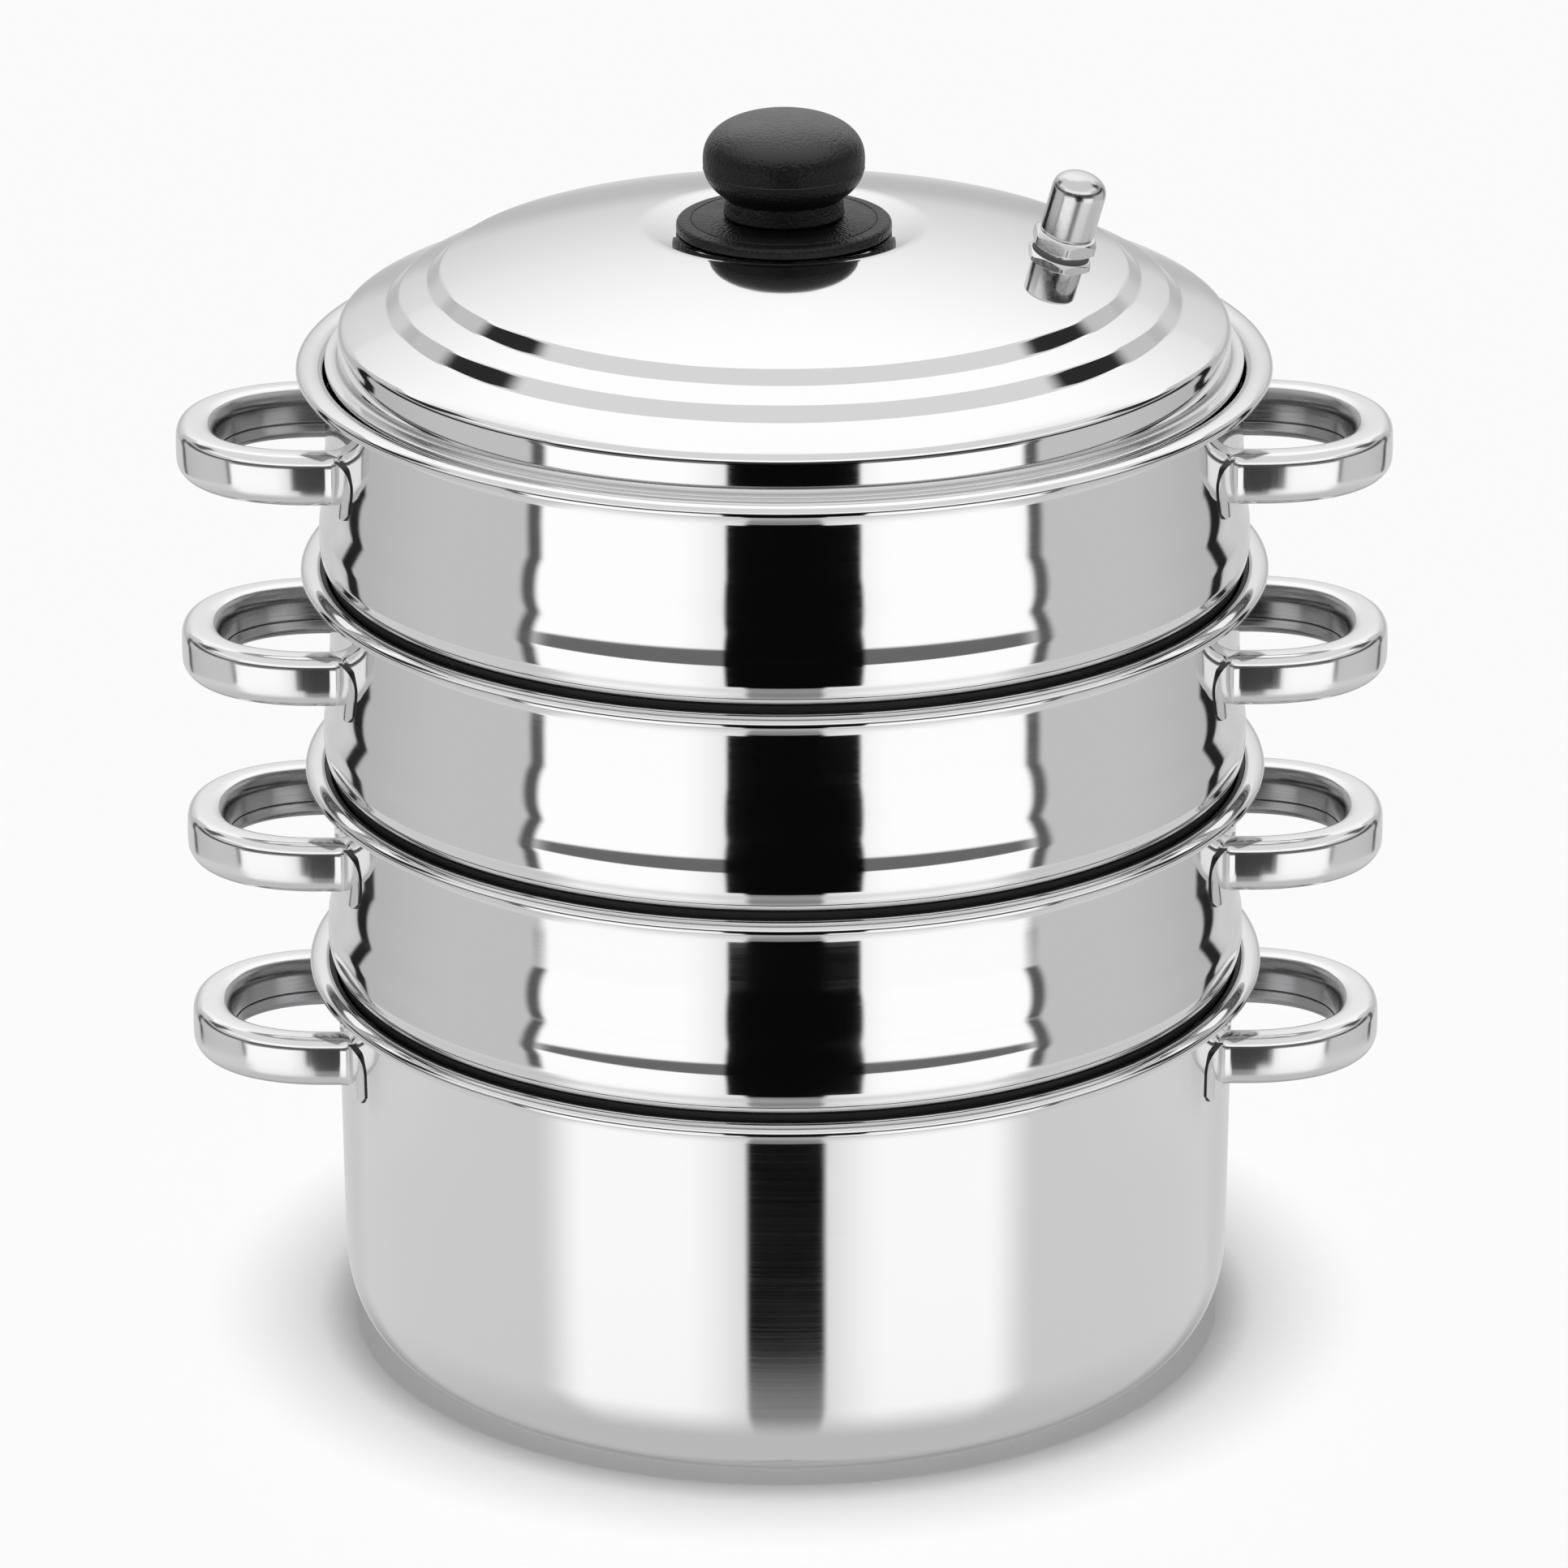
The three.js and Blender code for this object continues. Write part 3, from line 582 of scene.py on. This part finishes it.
def tabMesh(side, middle, wallAt):  # thin plate welded to the wall at the end of an arm
    half, bend = handle["tall"] / 2, handle["tabRound"]
    inner = handle["span"] / 2 - handle["wide"] - handle["tabLap"]
    outer = handle["span"] / 2 + handle["tabOut"]
    top, low = middle + half - handle["tabInset"], middle - half
    columns, rows = handle["tabColumns"], handle["tabRows"]
    verts, faces = [], []
    for skin in (0, 1):
        for i in range(columns + 1):
            y = inner + (outer - inner) * math.sin(math.pi / 2 * i / columns)  # they crowd at the free end
            past = max(0, y - (outer - bend))
            up = top - bend + math.sqrt(max(0, bend ** 2 - past ** 2))
            down = low + max(0, y - (outer - handle["tabChamfer"]))
            thin = smoothStep(min(1, past / bend))
            thick = handle["tabThick"] - (handle["tabThick"] - handle["tabEdge"]) * thin
            for k in range(rows + 1):
                z = down + (up - down) * k / rows
                radius = wallAt(z) + (thick if skin else -handle["tabSink"])
                verts.append((math.sqrt(radius ** 2 - y ** 2), side * y, z))
    def at(skin, i, k):
        return (skin * (columns + 1) + i) * (rows + 1) + k
    for i in range(columns):
        for k in range(rows):
            faces.append((at(1, i, k), at(1, i + 1, k), at(1, i + 1, k + 1), at(1, i, k + 1)))
            faces.append((at(0, i, k), at(0, i, k + 1), at(0, i + 1, k + 1), at(0, i + 1, k)))
        faces.append((at(0, i, 0), at(0, i + 1, 0), at(1, i + 1, 0), at(1, i, 0)))
        faces.append((at(1, i, rows), at(1, i + 1, rows), at(0, i + 1, rows), at(0, i, rows)))
    for k in range(rows):
        faces.append((at(1, columns, k), at(0, columns, k), at(0, columns, k + 1), at(1, columns, k + 1)))
        faces.append((at(0, 0, k), at(1, 0, k), at(1, 0, k + 1), at(0, 0, k + 1)))
    if side < 0:
        faces = [tuple(reversed(face)) for face in faces]
    return verts, faces


def buildHandles(body, top, wallAt):
    middle = top - handle["tall"] / 2
    loop = loopMesh(middle, wallAt)
    sectionCount, loopFaces = len(handleSection()), len(loop[1]) - 2
    firstStrip, endStrip = handle["insideStrips"]
    # faces inside the loop: brushed finish with painted shade
    def insideLoop(face):
        return face.index < loopFaces and firstStrip <= face.index % sectionCount < endStrip
    # painted shade: the tab's rim faces next to the wall get the near-black steel
    def shadedTabRim(face):
        radius, _, outward = faceSpot(face)
        past = abs(face.center.y) / mm - handle["span"] / 2
        nearWall = radius < lip["wall"] + handle["rimReach"]
        return abs(outward) < handle["rimFacing"] and nearWall and past > handle["rimStart"]
    finishes = [(loopInsideSteel, insideLoop), (paintedShadeSteel, shadedTabRim)]
    right = joined(loop, tabMesh(-1, middle, wallAt), tabMesh(1, middle, wallAt))
    half = Matrix.Rotation(math.pi, 4, "Z")
    for name, verts in (("Right", right[0]), ("Left", placed(right[0], half))):
        piece = makePiece(body.replace("_", "") + "Handle" + name, verts, right[1], foldedSteel, finishes)
        piece.visible_shadow = False  # the floor stays pale under them
        handIn(piece, body, "polished_steel", body + "_handle_" + name.lower())


buildPot()
buildHandles("base", pot["height"] - pot["handleDrop"], potRadius)
for number, drop in enumerate(tier["handleDrops"], 1):
    seat = pot["height"] + (number - 1) * tier["pitch"]
    buildTier(number)
    buildHandles("tier_%d" % number, seat + tier["pitch"] - drop, lambda z, seat=seat: tierRadius(z - seat))
print("pot, tiers and handles built")


# lid, heights from the lip's edge of the top tier
lid = dict(
    sheet=1.0, flangeTop=2.7, flangeCorner=3.0, skirt=116.3, corner=(116.3, 11.5), cornerRound=3.0,
    innerStep=((89.4, 26.2), (92.7, 23.0)), outerStep=((100.1, 20.0), (103.4, 16.8)), stepRound=2.4,
    bandCrowns=(0.06, 0.1), domeRadius=305.0, domeStart=7, domeStep=4, domeRings=11, dishOuter=37.0,
    dishInner=29.0, dishDeep=1.8, dishRounds=(4, 9), screwHole=2.7, rimDeg=141, hemDeg=150, edgeRound=0.3,
    hemRound=0.2, underStep=0.5, underRounds=(0.7, 0.9), underCorner=(0.7, 1.4), underFlange=(0.2, 2.0),
    filletTall=2.6, filletBack=0.1, filletFacing=0.02)
topLip = pot["height"] + len(tier["handleDrops"]) * tier["pitch"]


def domeHeight(r):
    (edge, top), _ = lid["innerStep"]
    return top + math.sqrt(lid["domeRadius"] ** 2 - r ** 2) - math.sqrt(lid["domeRadius"] ** 2 - edge ** 2)


dishHeight = domeHeight(lid["dishOuter"]) - lid["dishDeep"]
lidTop = topLip + dishHeight


def lidOutline():
    sheet, bend = lid["sheet"], lid["stepRound"]
    flange, edgeRound = lid["flangeTop"], lid["edgeRound"]
    rim, rimLow = seatPoint(0, lid["rimDeg"])
    hem, hemLow = seatPoint(0, lid["hemDeg"])
    domeRadii = [lid["dishOuter"] + lid["domeStart"] + lid["domeStep"] * i for i in range(lid["domeRings"])]
    (s1r, s1z), (s2r, s2z) = lid["innerStep"]
    (s3r, s3z), (s4r, s4z) = lid["outerStep"]
    cornerR, cornerZ = lid["corner"]
    ringCrown, bandCrown = lid["bandCrowns"]
    dishRound, browRound = lid["dishRounds"]
    dome = [(lid["screwHole"], dishHeight), (lid["dishInner"], dishHeight, dishRound),
            (lid["dishOuter"], domeHeight(lid["dishOuter"]), browRound)]
    dome += [(r, domeHeight(r)) for r in domeRadii]
    top = dome + [
        (s1r, s1z, bend), (s2r, s2z, bend), ((s2r + s3r) / 2, (s2z + s3z) / 2 + ringCrown),
        (s3r, s3z, bend), (s4r, s4z, bend), ((s4r + cornerR) / 2, (s4z + cornerZ) / 2 + bandCrown),
        (cornerR, cornerZ, lid["cornerRound"]), (lid["skirt"], flange, lid["flangeCorner"]),
        (rim, flange, edgeRound), (rim, rimLow)]
    under = [(r, z - sheet, *rest) for r, z, *rest in dome]
    brow, foot = lid["underRounds"]
    for r, z, radius in ((s1r, s1z, brow), (s2r, s2z, foot), (s3r, s3z, brow), (s4r, s4z, foot)):
        under.append((r - lid["underStep"], z - sheet, radius))
    cornerDrop, cornerRound = lid["underCorner"]
    flangeLift, flangeRound = lid["underFlange"]
    under += [(cornerR - sheet, cornerZ - cornerDrop, cornerRound),
              (lid["skirt"] - sheet, flange - sheet + flangeLift, flangeRound),
              (hem - sheet, flange - sheet, edgeRound), (hem - sheet, hemLow, edgeRound),
              (hem, hemLow, lid["hemRound"]), (rim, rimLow)]
    outline = rounded(under) + list(reversed(rounded(top)))[1:]
    return [(r, z + topLip) for r, z in outline]


def buildLid():
    def onFillet(face):  # foot of the skirt, which the polishing wheel only brushes
        radius, height, _ = faceSpot(face)
        rise = height - topLip - lid["flangeTop"]
        onSkirt = radius > lid["skirt"] - lid["filletBack"] and face.normal.z > lid["filletFacing"]
        return onSkirt and 0 < rise < lid["filletTall"]
    outline = spinMesh(lidOutline(), roundSides)
    shell = makePiece("lidShell", *outline, polishedSteel, [(satinSteel, onFillet)])
    handIn(shell, "lid", "polished_steel", "lid_shell")


# steam vent, heights along its own axis from the lid's surface
vent = dict(
    radius=77.3, azimuthDeg=-29.5, tiltDeg=16.5, fit=0.3, lift=0.5, openGap=1.9, underGap=0.9, hexFlat=7.7,
    hexTurnDeg=4.0, sides=96, gapFacing=0.9, gapReach=0.2)
ventBush = dict(radius=6.7, tall=9.2, hexTall=2.5, hexChamfer=0.6, footRound=0.8)
ventStem = dict(radius=3.8, bore=1.6, below=2.0, footRound=0.5, topRound=0.8, sides=48)
ventCap = dict(
    radius=7.0, tall=16.8, hexTall=3.7, hexChamfer=0.7, dome=5.0, fullness=2.3, roof=5.6, sink=0.4,
    neckIn=0.25, neckLow=0.2, neckTop=1.0, neckRounds=(0.2, 0.3))
ventGasket = dict(radius=7.6, thick=1.5, edgeRound=0.4, sides=64)
ventLockNut = dict(flat=7.27, tall=5.0, chamfer=0.5)
hexCollar = dict(sides=96, shoulder=0.97, corner=1.125)  # the last two times the distance to a flat
ventFrame = (Matrix.Rotation(math.radians(vent["azimuthDeg"]), 4, "Z")
             @ Matrix.Translation((vent["radius"], 0, topLip + domeHeight(vent["radius"])))
             @ Matrix.Rotation(math.radians(vent["tiltDeg"]), 4, "Y"))


def hexMesh(flat, low, high, bore, chamfer, turnDeg=0):  # six-sided, its corners turned off at both ends
    sides, shoulder = hexCollar["sides"], flat * hexCollar["shoulder"]
    verts, faces = [], []
    for j in range(sides):
        angle = 2 * math.pi * j / sides
        edge = min(flat / math.cos((angle % (math.pi / 3)) - math.pi / 6), flat * hexCollar["corner"])
        drop = (edge - shoulder) * chamfer
        ring = [(bore, low), (shoulder, low), (edge, low + drop),
                (edge, high - drop), (shoulder, high), (bore, high)]
        angle += math.radians(turnDeg)
        verts += [(r * math.cos(angle), r * math.sin(angle), z) for r, z in ring]
    count = len(ring)
    for j in range(sides):
        a, b = j * count, (j + 1) % sides * count
        for k in range(count):
            n = (k + 1) % count
            faces.append((a + k, b + k, b + n, a + n))
    return verts, faces


def fitVent(name, verts, faces, material, body, slot, node, others=()):
    piece = makePiece(name, placed(verts, ventFrame), faces, material, others)
    piece.visible_glossy = False  # the lid doesn't mirror it
    handIn(piece, body, slot, node)


def buildVent():
    fit = ventStem["radius"] + vent["fit"]
    sleeveTop = vent["lift"] + ventBush["tall"]
    bushTop = sleeveTop + ventBush["hexTall"]
    capFoot = bushTop + vent["openGap"]
    shaft = capFoot + ventCap["hexTall"]
    capTop = shaft + ventCap["tall"]
    stemTop = capTop - ventCap["roof"] - vent["fit"]
    gasketTop = -lid["sheet"] - vent["underGap"]
    gasketLow = gasketTop - ventGasket["thick"]
    nutLow = gasketLow - vent["fit"] - ventLockNut["tall"]
    stemLow = nutLow - ventStem["below"]
    axis, back = ventFrame.to_3x3() @ Vector((0, 0, 1)), ventFrame.inverted()
    def inGap(face):  # flat faces between the two hexagons, painted dark as shade
        height = (back @ (face.center / mm)).z
        isFlat = abs(face.normal.dot(axis)) > vent["gapFacing"]
        return isFlat and bushTop - vent["gapReach"] < height < capFoot + vent["gapReach"]
    paintedGapShade = [(paintedShadeSteel, inGap)]
    sleeve = rounded([(fit, vent["lift"]), (ventBush["radius"], vent["lift"], ventBush["footRound"]),
                      (ventBush["radius"], sleeveTop), (fit, sleeveTop)])
    collar = hexMesh(vent["hexFlat"], sleeveTop, bushTop, fit, ventBush["hexChamfer"], vent["hexTurnDeg"])
    verts, faces = joined(spinMesh(sleeve, vent["sides"]), collar)
    fitVent("ventBush", verts, faces, turnedSteel, "lid", "turned_steel", "vent_bush", paintedGapShade)

    stem = rounded([(ventStem["bore"], stemLow), (ventStem["radius"], stemLow, ventStem["footRound"]),
                    (ventStem["radius"], stemTop, ventStem["topRound"]), (ventStem["bore"], stemTop)])
    verts, faces = spinMesh(stem, ventStem["sides"])
    fitVent("ventStem", verts, faces, turnedSteel, "lid", "turned_steel", "vent_stem")

    radius, foot, roof = ventCap["radius"], shaft - ventCap["sink"], stemTop + vent["fit"]
    lowRound, topRound = ventCap["neckRounds"]
    dome = fullCurve(radius, ventCap["dome"], capTop - ventCap["dome"], ventCap["fullness"], 0, 90, 18)
    cap = rounded([(0, roof), (fit, roof), (fit, foot), (radius, foot),
                   (radius - ventCap["neckIn"], shaft + ventCap["neckLow"], lowRound),
                   (radius, shaft + ventCap["neckTop"], topRound), dome[0]])
    cap += dome[1:-1] + [(0, capTop)]
    collar = hexMesh(vent["hexFlat"], capFoot, shaft, fit, ventCap["hexChamfer"], vent["hexTurnDeg"])
    verts, faces = joined(spinMesh(cap, vent["sides"]), collar)
    fitVent("ventCap", verts, faces, turnedSteel, "vent_cap", "turned_steel", "vent_cap", paintedGapShade)

    edgeRound = ventGasket["edgeRound"]
    gasket = rounded([(fit, gasketLow), (ventGasket["radius"], gasketLow, edgeRound),
                      (ventGasket["radius"], gasketTop, edgeRound), (fit, gasketTop)])
    verts, faces = spinMesh(gasket, ventGasket["sides"])
    fitVent("ventGasket", verts, faces, greyRubber, "lid", "grey_rubber", "vent_gasket")

    nutTop = nutLow + ventLockNut["tall"]
    verts, faces = hexMesh(ventLockNut["flat"], nutLow, nutTop, fit, ventLockNut["chamfer"])
    fitVent("ventLockNut", verts, faces, turnedSteel, "lid", "turned_steel", "vent_lock_nut")


# knob, heights from the lid's dish
knobDisc = dict(
    radius=28.0, rim=2.7, rimIn=1.6, rimRound=1.5, footRound=0.5, crown=4.1, underNeck=0.6, groove=24.2,
    grooveWide=0.5, grooveDeep=0.35, grooveLip=0.2, grooveDip=0.05, grooveRound=0.1, sides=160)
knob = dict(
    radius=21.0, halfHeight=12.1, fullness=2.4, centre=19.0, neck=15.5, gap=0.3, footOut=0.3, footRound=0.4,
    footTall=2.0, neckRound=1.0, throatDrop=0.6, throatRound=1.2, throatDeg=3.0, partingDeg=-7.0,
    partingOut=0.12, partingHalfDeg=0.5, sides=128)
knobWasher = dict(radius=8.0, thick=1.2, lowRound=0.3, topRound=0.2, sides=64)
knobScrew = dict(
    radius=2.4, depth=14.0, tipIn=0.6, tipTall=0.5, tipRound=0.2, head=4.4, headTall=2.8, headIn=0.4,
    headRise=0.3, headRound=1.2, edge=0.2, edgeIn=0.1, drive=1.5, driveMouth=1.7, driveDeep=1.1, sides=48)


def buildKnob():
    gap = knob["gap"]
    bore = knobScrew["radius"] + gap
    discZ = lidTop + gap
    crown = discZ + knobDisc["crown"]
    slope = (knobDisc["crown"] - knobDisc["rim"]) / (knobDisc["radius"] - knobDisc["rimIn"] - knob["neck"])
    def discTop(r):
        return crown - (r - knob["neck"]) * slope
    outer, middle, half = knobDisc["radius"], knobDisc["groove"], knobDisc["grooveWide"] / 2
    dip, lipEnd = knobDisc["grooveDip"], half + knobDisc["grooveLip"]
    disc = rounded([(bore, discZ), (outer, discZ, knobDisc["footRound"]),
                    (outer, discZ + knobDisc["rim"], knobDisc["rimRound"]),
                    (middle + lipEnd, discTop(middle + lipEnd)), (middle + half, discTop(middle) - dip, dip),
                    (middle, discTop(middle) - knobDisc["grooveDeep"], knobDisc["grooveRound"]),
                    (middle - half, discTop(middle) - dip, dip), (middle - lipEnd, discTop(middle - lipEnd)),
                    (knob["neck"] - knobDisc["underNeck"], crown), (bore, crown)])
    piece = makePiece("knobDisc", *spinMesh(disc, knobDisc["sides"]), discMoulding)
    handIn(piece, "lid", "black_moulding", "knob_disc")

    foot, centre = crown + gap, lidTop + knob["centre"]
    tip = lidTop + knobScrew["depth"]
    end = tip + gap
    jointDeg = -math.degrees(math.acos((knob["neck"] / knob["radius"]) ** (knob["fullness"] / 2)))
    parting, half = knob["partingDeg"], knob["partingHalfDeg"]
    shape = (knob["radius"], knob["halfHeight"], centre, knob["fullness"])
    ridge = (knob["radius"] + knob["partingOut"], *shape[1:])
    low = fullCurve(*shape, jointDeg + knob["throatDeg"], parting - half, 14)
    part = fullCurve(*ridge, parting, parting, 1)[:1]
    high = fullCurve(*shape, parting + half, 90, 40)
    neck = rounded([(bore, foot), (knob["neck"] + knob["footOut"], foot, knob["footRound"]),
                    (knob["neck"], foot + knob["footTall"], knob["neckRound"]),
                    (knob["neck"], low[0][1] - knob["throatDrop"], knob["throatRound"]), low[0]])
    outline = [(0, end), (bore, end)] + neck + low[1:] + part + high[:-1]
    outline += [(0, centre + knob["halfHeight"])]
    piece = makePiece("knob", *spinMesh(outline, knob["sides"]), knobMoulding)
    handIn(piece, "lid", "black_moulding", "knob")

    washerTop = lidTop - lid["sheet"] - gap
    washerLow = washerTop - knobWasher["thick"]
    washer = rounded([(bore, washerLow), (knobWasher["radius"], washerLow, knobWasher["lowRound"]),
                      (knobWasher["radius"], washerTop, knobWasher["topRound"]), (bore, washerTop)])
    piece = makePiece("knobWasher", *spinMesh(washer, knobWasher["sides"]), turnedSteel)
    handIn(piece, "lid", "turned_steel", "knob_washer")

    headTop = washerLow - gap
    headLow = headTop - knobScrew["headTall"]
    drive = headLow + knobScrew["driveDeep"]
    head, radius, edge = knobScrew["head"], knobScrew["radius"], knobScrew["edge"]
    screw = rounded([(0, drive), (knobScrew["drive"], drive), (knobScrew["driveMouth"], headLow),
                     (head - knobScrew["headIn"], headLow + knobScrew["headRise"], knobScrew["headRound"]),
                     (head, headTop - edge, edge), (head - knobScrew["edgeIn"], headTop), (radius, headTop),
                     (radius, tip - knobScrew["tipTall"], knobScrew["tipRound"]),
                     (radius - knobScrew["tipIn"], tip), (0, tip)])
    piece = makePiece("knobScrew", *spinMesh(screw, knobScrew["sides"]), turnedSteel)
    handIn(piece, "lid", "turned_steel", "knob_screw")


buildLid()
buildKnob()
buildVent()
print("lid, knob and vent built")


# studio: pale floor, white room with dark bars that the steel mirrors, one soft lamp
floorLook = dict(name="floorPaper", size=40.0, colour=(0.96, 0.96, 0.96), rough=0.6)


def buildFloor(look):
    half = look["size"] / 2
    mesh = bpy.data.meshes.new("studioFloor")
    corners = [(-half, -half, 0), (half, -half, 0), (half, half, 0), (-half, half, 0)]
    mesh.from_pydata(corners, [], [(0, 1, 2, 3)])
    material, _, bsdf = newMaterial(look)
    bsdf.inputs["Roughness"].default_value = look["rough"]
    bsdf.inputs["Specular IOR Level"].default_value = 0.0
    mesh.materials.append(material)
    floor = bpy.data.objects.new("studioFloor", mesh)
    bpy.context.scene.collection.objects.link(floor)
    floor.visible_glossy = False  # the steel mirrors the room instead


# Patches of the room by compass angle from the front and height above the horizon, in degrees.
# Each is laid over those before it.
roomPanels = 1.33  # white panels all round, under the patches
roomPatches = [
    dict(az=(0, 146), el=(40, 90), soft=(6, 5), level=0.9),  # ceiling
    dict(az=(0, 180), el=(72, 90), soft=(1, 4), level=0.9),
    dict(az=(60, 146), el=(-90, -23.4), soft=(8, 0.7), level=0.8),  # side walls
    dict(az=(64, 146), el=(-23.4, 34), soft=(2, 0.7), level=0.69),
    dict(az=(112, 150), el=(-23.2, 20), soft=(22, 1), level=0.58),
    dict(az=(138, 180), el=(-90, -12), soft=(8, 6), level=0.78),  # back wall
    dict(az=(145, 180), el=(-90, 22), soft=(8, 28), level=0.7),
    dict(az=(138, 180), el=(-7, 5), soft=(8, 4.5), level=0.58),
    dict(az=(0, 14), el=(-60, 4), soft=(14, 6), level=0.84),
    dict(az=(62.5, 66.5), el=(-21.6, 6), soft=(1.3, 0.8), level=0.12),  # edge of the side lights
    dict(az=(0, 63), el=(-5, 23), soft=(6, 1.2), level=0.18),  # dark beside the camera
    dict(az=(0, 128), el=(8, 20), soft=(3, 2.5), level=0.02),
    dict(az=(107, 129), el=(25, 45), soft=(2.5, 2), level=0.03),
    dict(az=(129, 136), el=(-22.6, 14), soft=(1.2, 1), level=0.02),
    dict(az=(0, 180), el=(-90, -37), soft=(1, 19), level=0.64),  # ground
    dict(az=(140, 180), el=(-90, -45), soft=(30, 14), level=0.5),
    dict(az=(150, 180), el=(-64, -29), soft=(12, 5), level=0.4),
    dict(az=(0, 9.8), el=(-42, -18), soft=(1.1, 14), level=0.27),  # dark bar before the pot
    dict(az=(0, 9.8), el=(-26.4, -18), soft=(1.1, 0.7), level=0.003),
    dict(az=(0, 16.6), el=(-23.4, 6), soft=(0.7, 0.6), level=0.003, turn=2.2),  # and before the tiers
]
roomFill = 0.3  # plain light of the room on the floor
roomWhite = 0.95  # past the floor's edge, as pale as the floor


def buildRoom(patches):
    world = bpy.data.worlds.new("studioRoom")
    bpy.context.scene.world = world
    world.use_nodes = True
    tree = world.node_tree
    direction = addNode(tree, "ShaderNodeTexCoord").outputs["Generated"]
    x, y, z = addNode(tree, "ShaderNodeSeparateXYZ", {0: direction}).outputs
    degrees = 180 / math.pi
    height = doMath(tree, "MULTIPLY", doMath(tree, "ARCSINE", z), degrees)
    toFront = doMath(tree, "MULTIPLY", y, -1)
    compass = doMath(tree, "MULTIPLY", doMath(tree, "ARCTAN2", x, toFront), degrees)
    level = roomPanels
    for patch in patches:
        aside = doMath(tree, "ABSOLUTE", doMath(tree, "SUBTRACT", compass, patch.get("turn", 0)))
        azSoft, elSoft = patch["soft"]
        edges = []
        for angle, (low, high), soft, least, most in (
                (aside, patch["az"], azSoft, 0, 180), (height, patch["el"], elSoft, -90, 90)):
            if low > least:
                edges.append(mapRange(tree, angle, low - soft, low + soft, 0, 1, True))
            if high < most:
                edges.append(mapRange(tree, angle, high - soft, high + soft, 1, 0, True))
        mask = edges[0]
        for edge in edges[1:]:
            mask = doMath(tree, "MULTIPLY", mask, edge)
        gap = doMath(tree, "SUBTRACT", patch["level"], level)
        level = doMath(tree, "ADD", level, doMath(tree, "MULTIPLY", mask, gap))
    path = addNode(tree, "ShaderNodeLightPath").outputs
    mirrored = doMath(tree, "MULTIPLY", path["Is Glossy Ray"], doMath(tree, "SUBTRACT", level, roomFill))
    backdrop = doMath(tree, "MULTIPLY", path["Is Camera Ray"], roomWhite - roomFill)
    seen = doMath(tree, "ADD", doMath(tree, "ADD", roomFill, mirrored), backdrop)
    world.cycles.sampling_method = "NONE"
    background = tree.nodes["Background"]
    tree.links.new(seen, background.inputs["Color"])
    background.inputs["Strength"].default_value = 1.0


lampLook = dict(tiltDeg=1.0, spreadDeg=14.0, strength=2.2, height=2.0)


def buildLamp(look):  # wide overhead light
    data = bpy.data.lights.new("overheadLamp", "SUN")
    data.angle = math.radians(look["spreadDeg"])
    data.energy = look["strength"]
    lamp = bpy.data.objects.new("overheadLamp", data)
    lamp.location = (0, 0, look["height"])
    lamp.rotation_euler = (math.radians(look["tiltDeg"]), 0, 0)
    lamp.visible_glossy = False
    bpy.context.scene.collection.objects.link(lamp)


# camera solved from the photograph
cameraLook = dict(place=(-0.000278, -1.9461, 0.8856), pitchDeg=20.708, rollDeg=-0.110, lens=179.47, sensor=36.0)


def buildCamera(look):
    data = bpy.data.cameras.new("photoCamera")
    data.sensor_fit = "HORIZONTAL"
    data.sensor_width = look["sensor"]
    data.lens = look["lens"]
    camera = bpy.data.objects.new("photoCamera", data)
    pitch = Matrix.Rotation(math.radians(90 - look["pitchDeg"]), 4, "X")
    roll = Matrix.Rotation(math.radians(look["rollDeg"]), 4, "Z")
    camera.matrix_world = Matrix.Translation(look["place"]) @ (pitch @ roll)
    bpy.context.scene.collection.objects.link(camera)
    bpy.context.scene.camera = camera


buildFloor(floorLook)
buildRoom(roomPatches)
buildLamp(lampLook)
buildCamera(cameraLook)
bpy.context.scene.view_settings.view_transform = "Standard"
print("studio and camera ready")
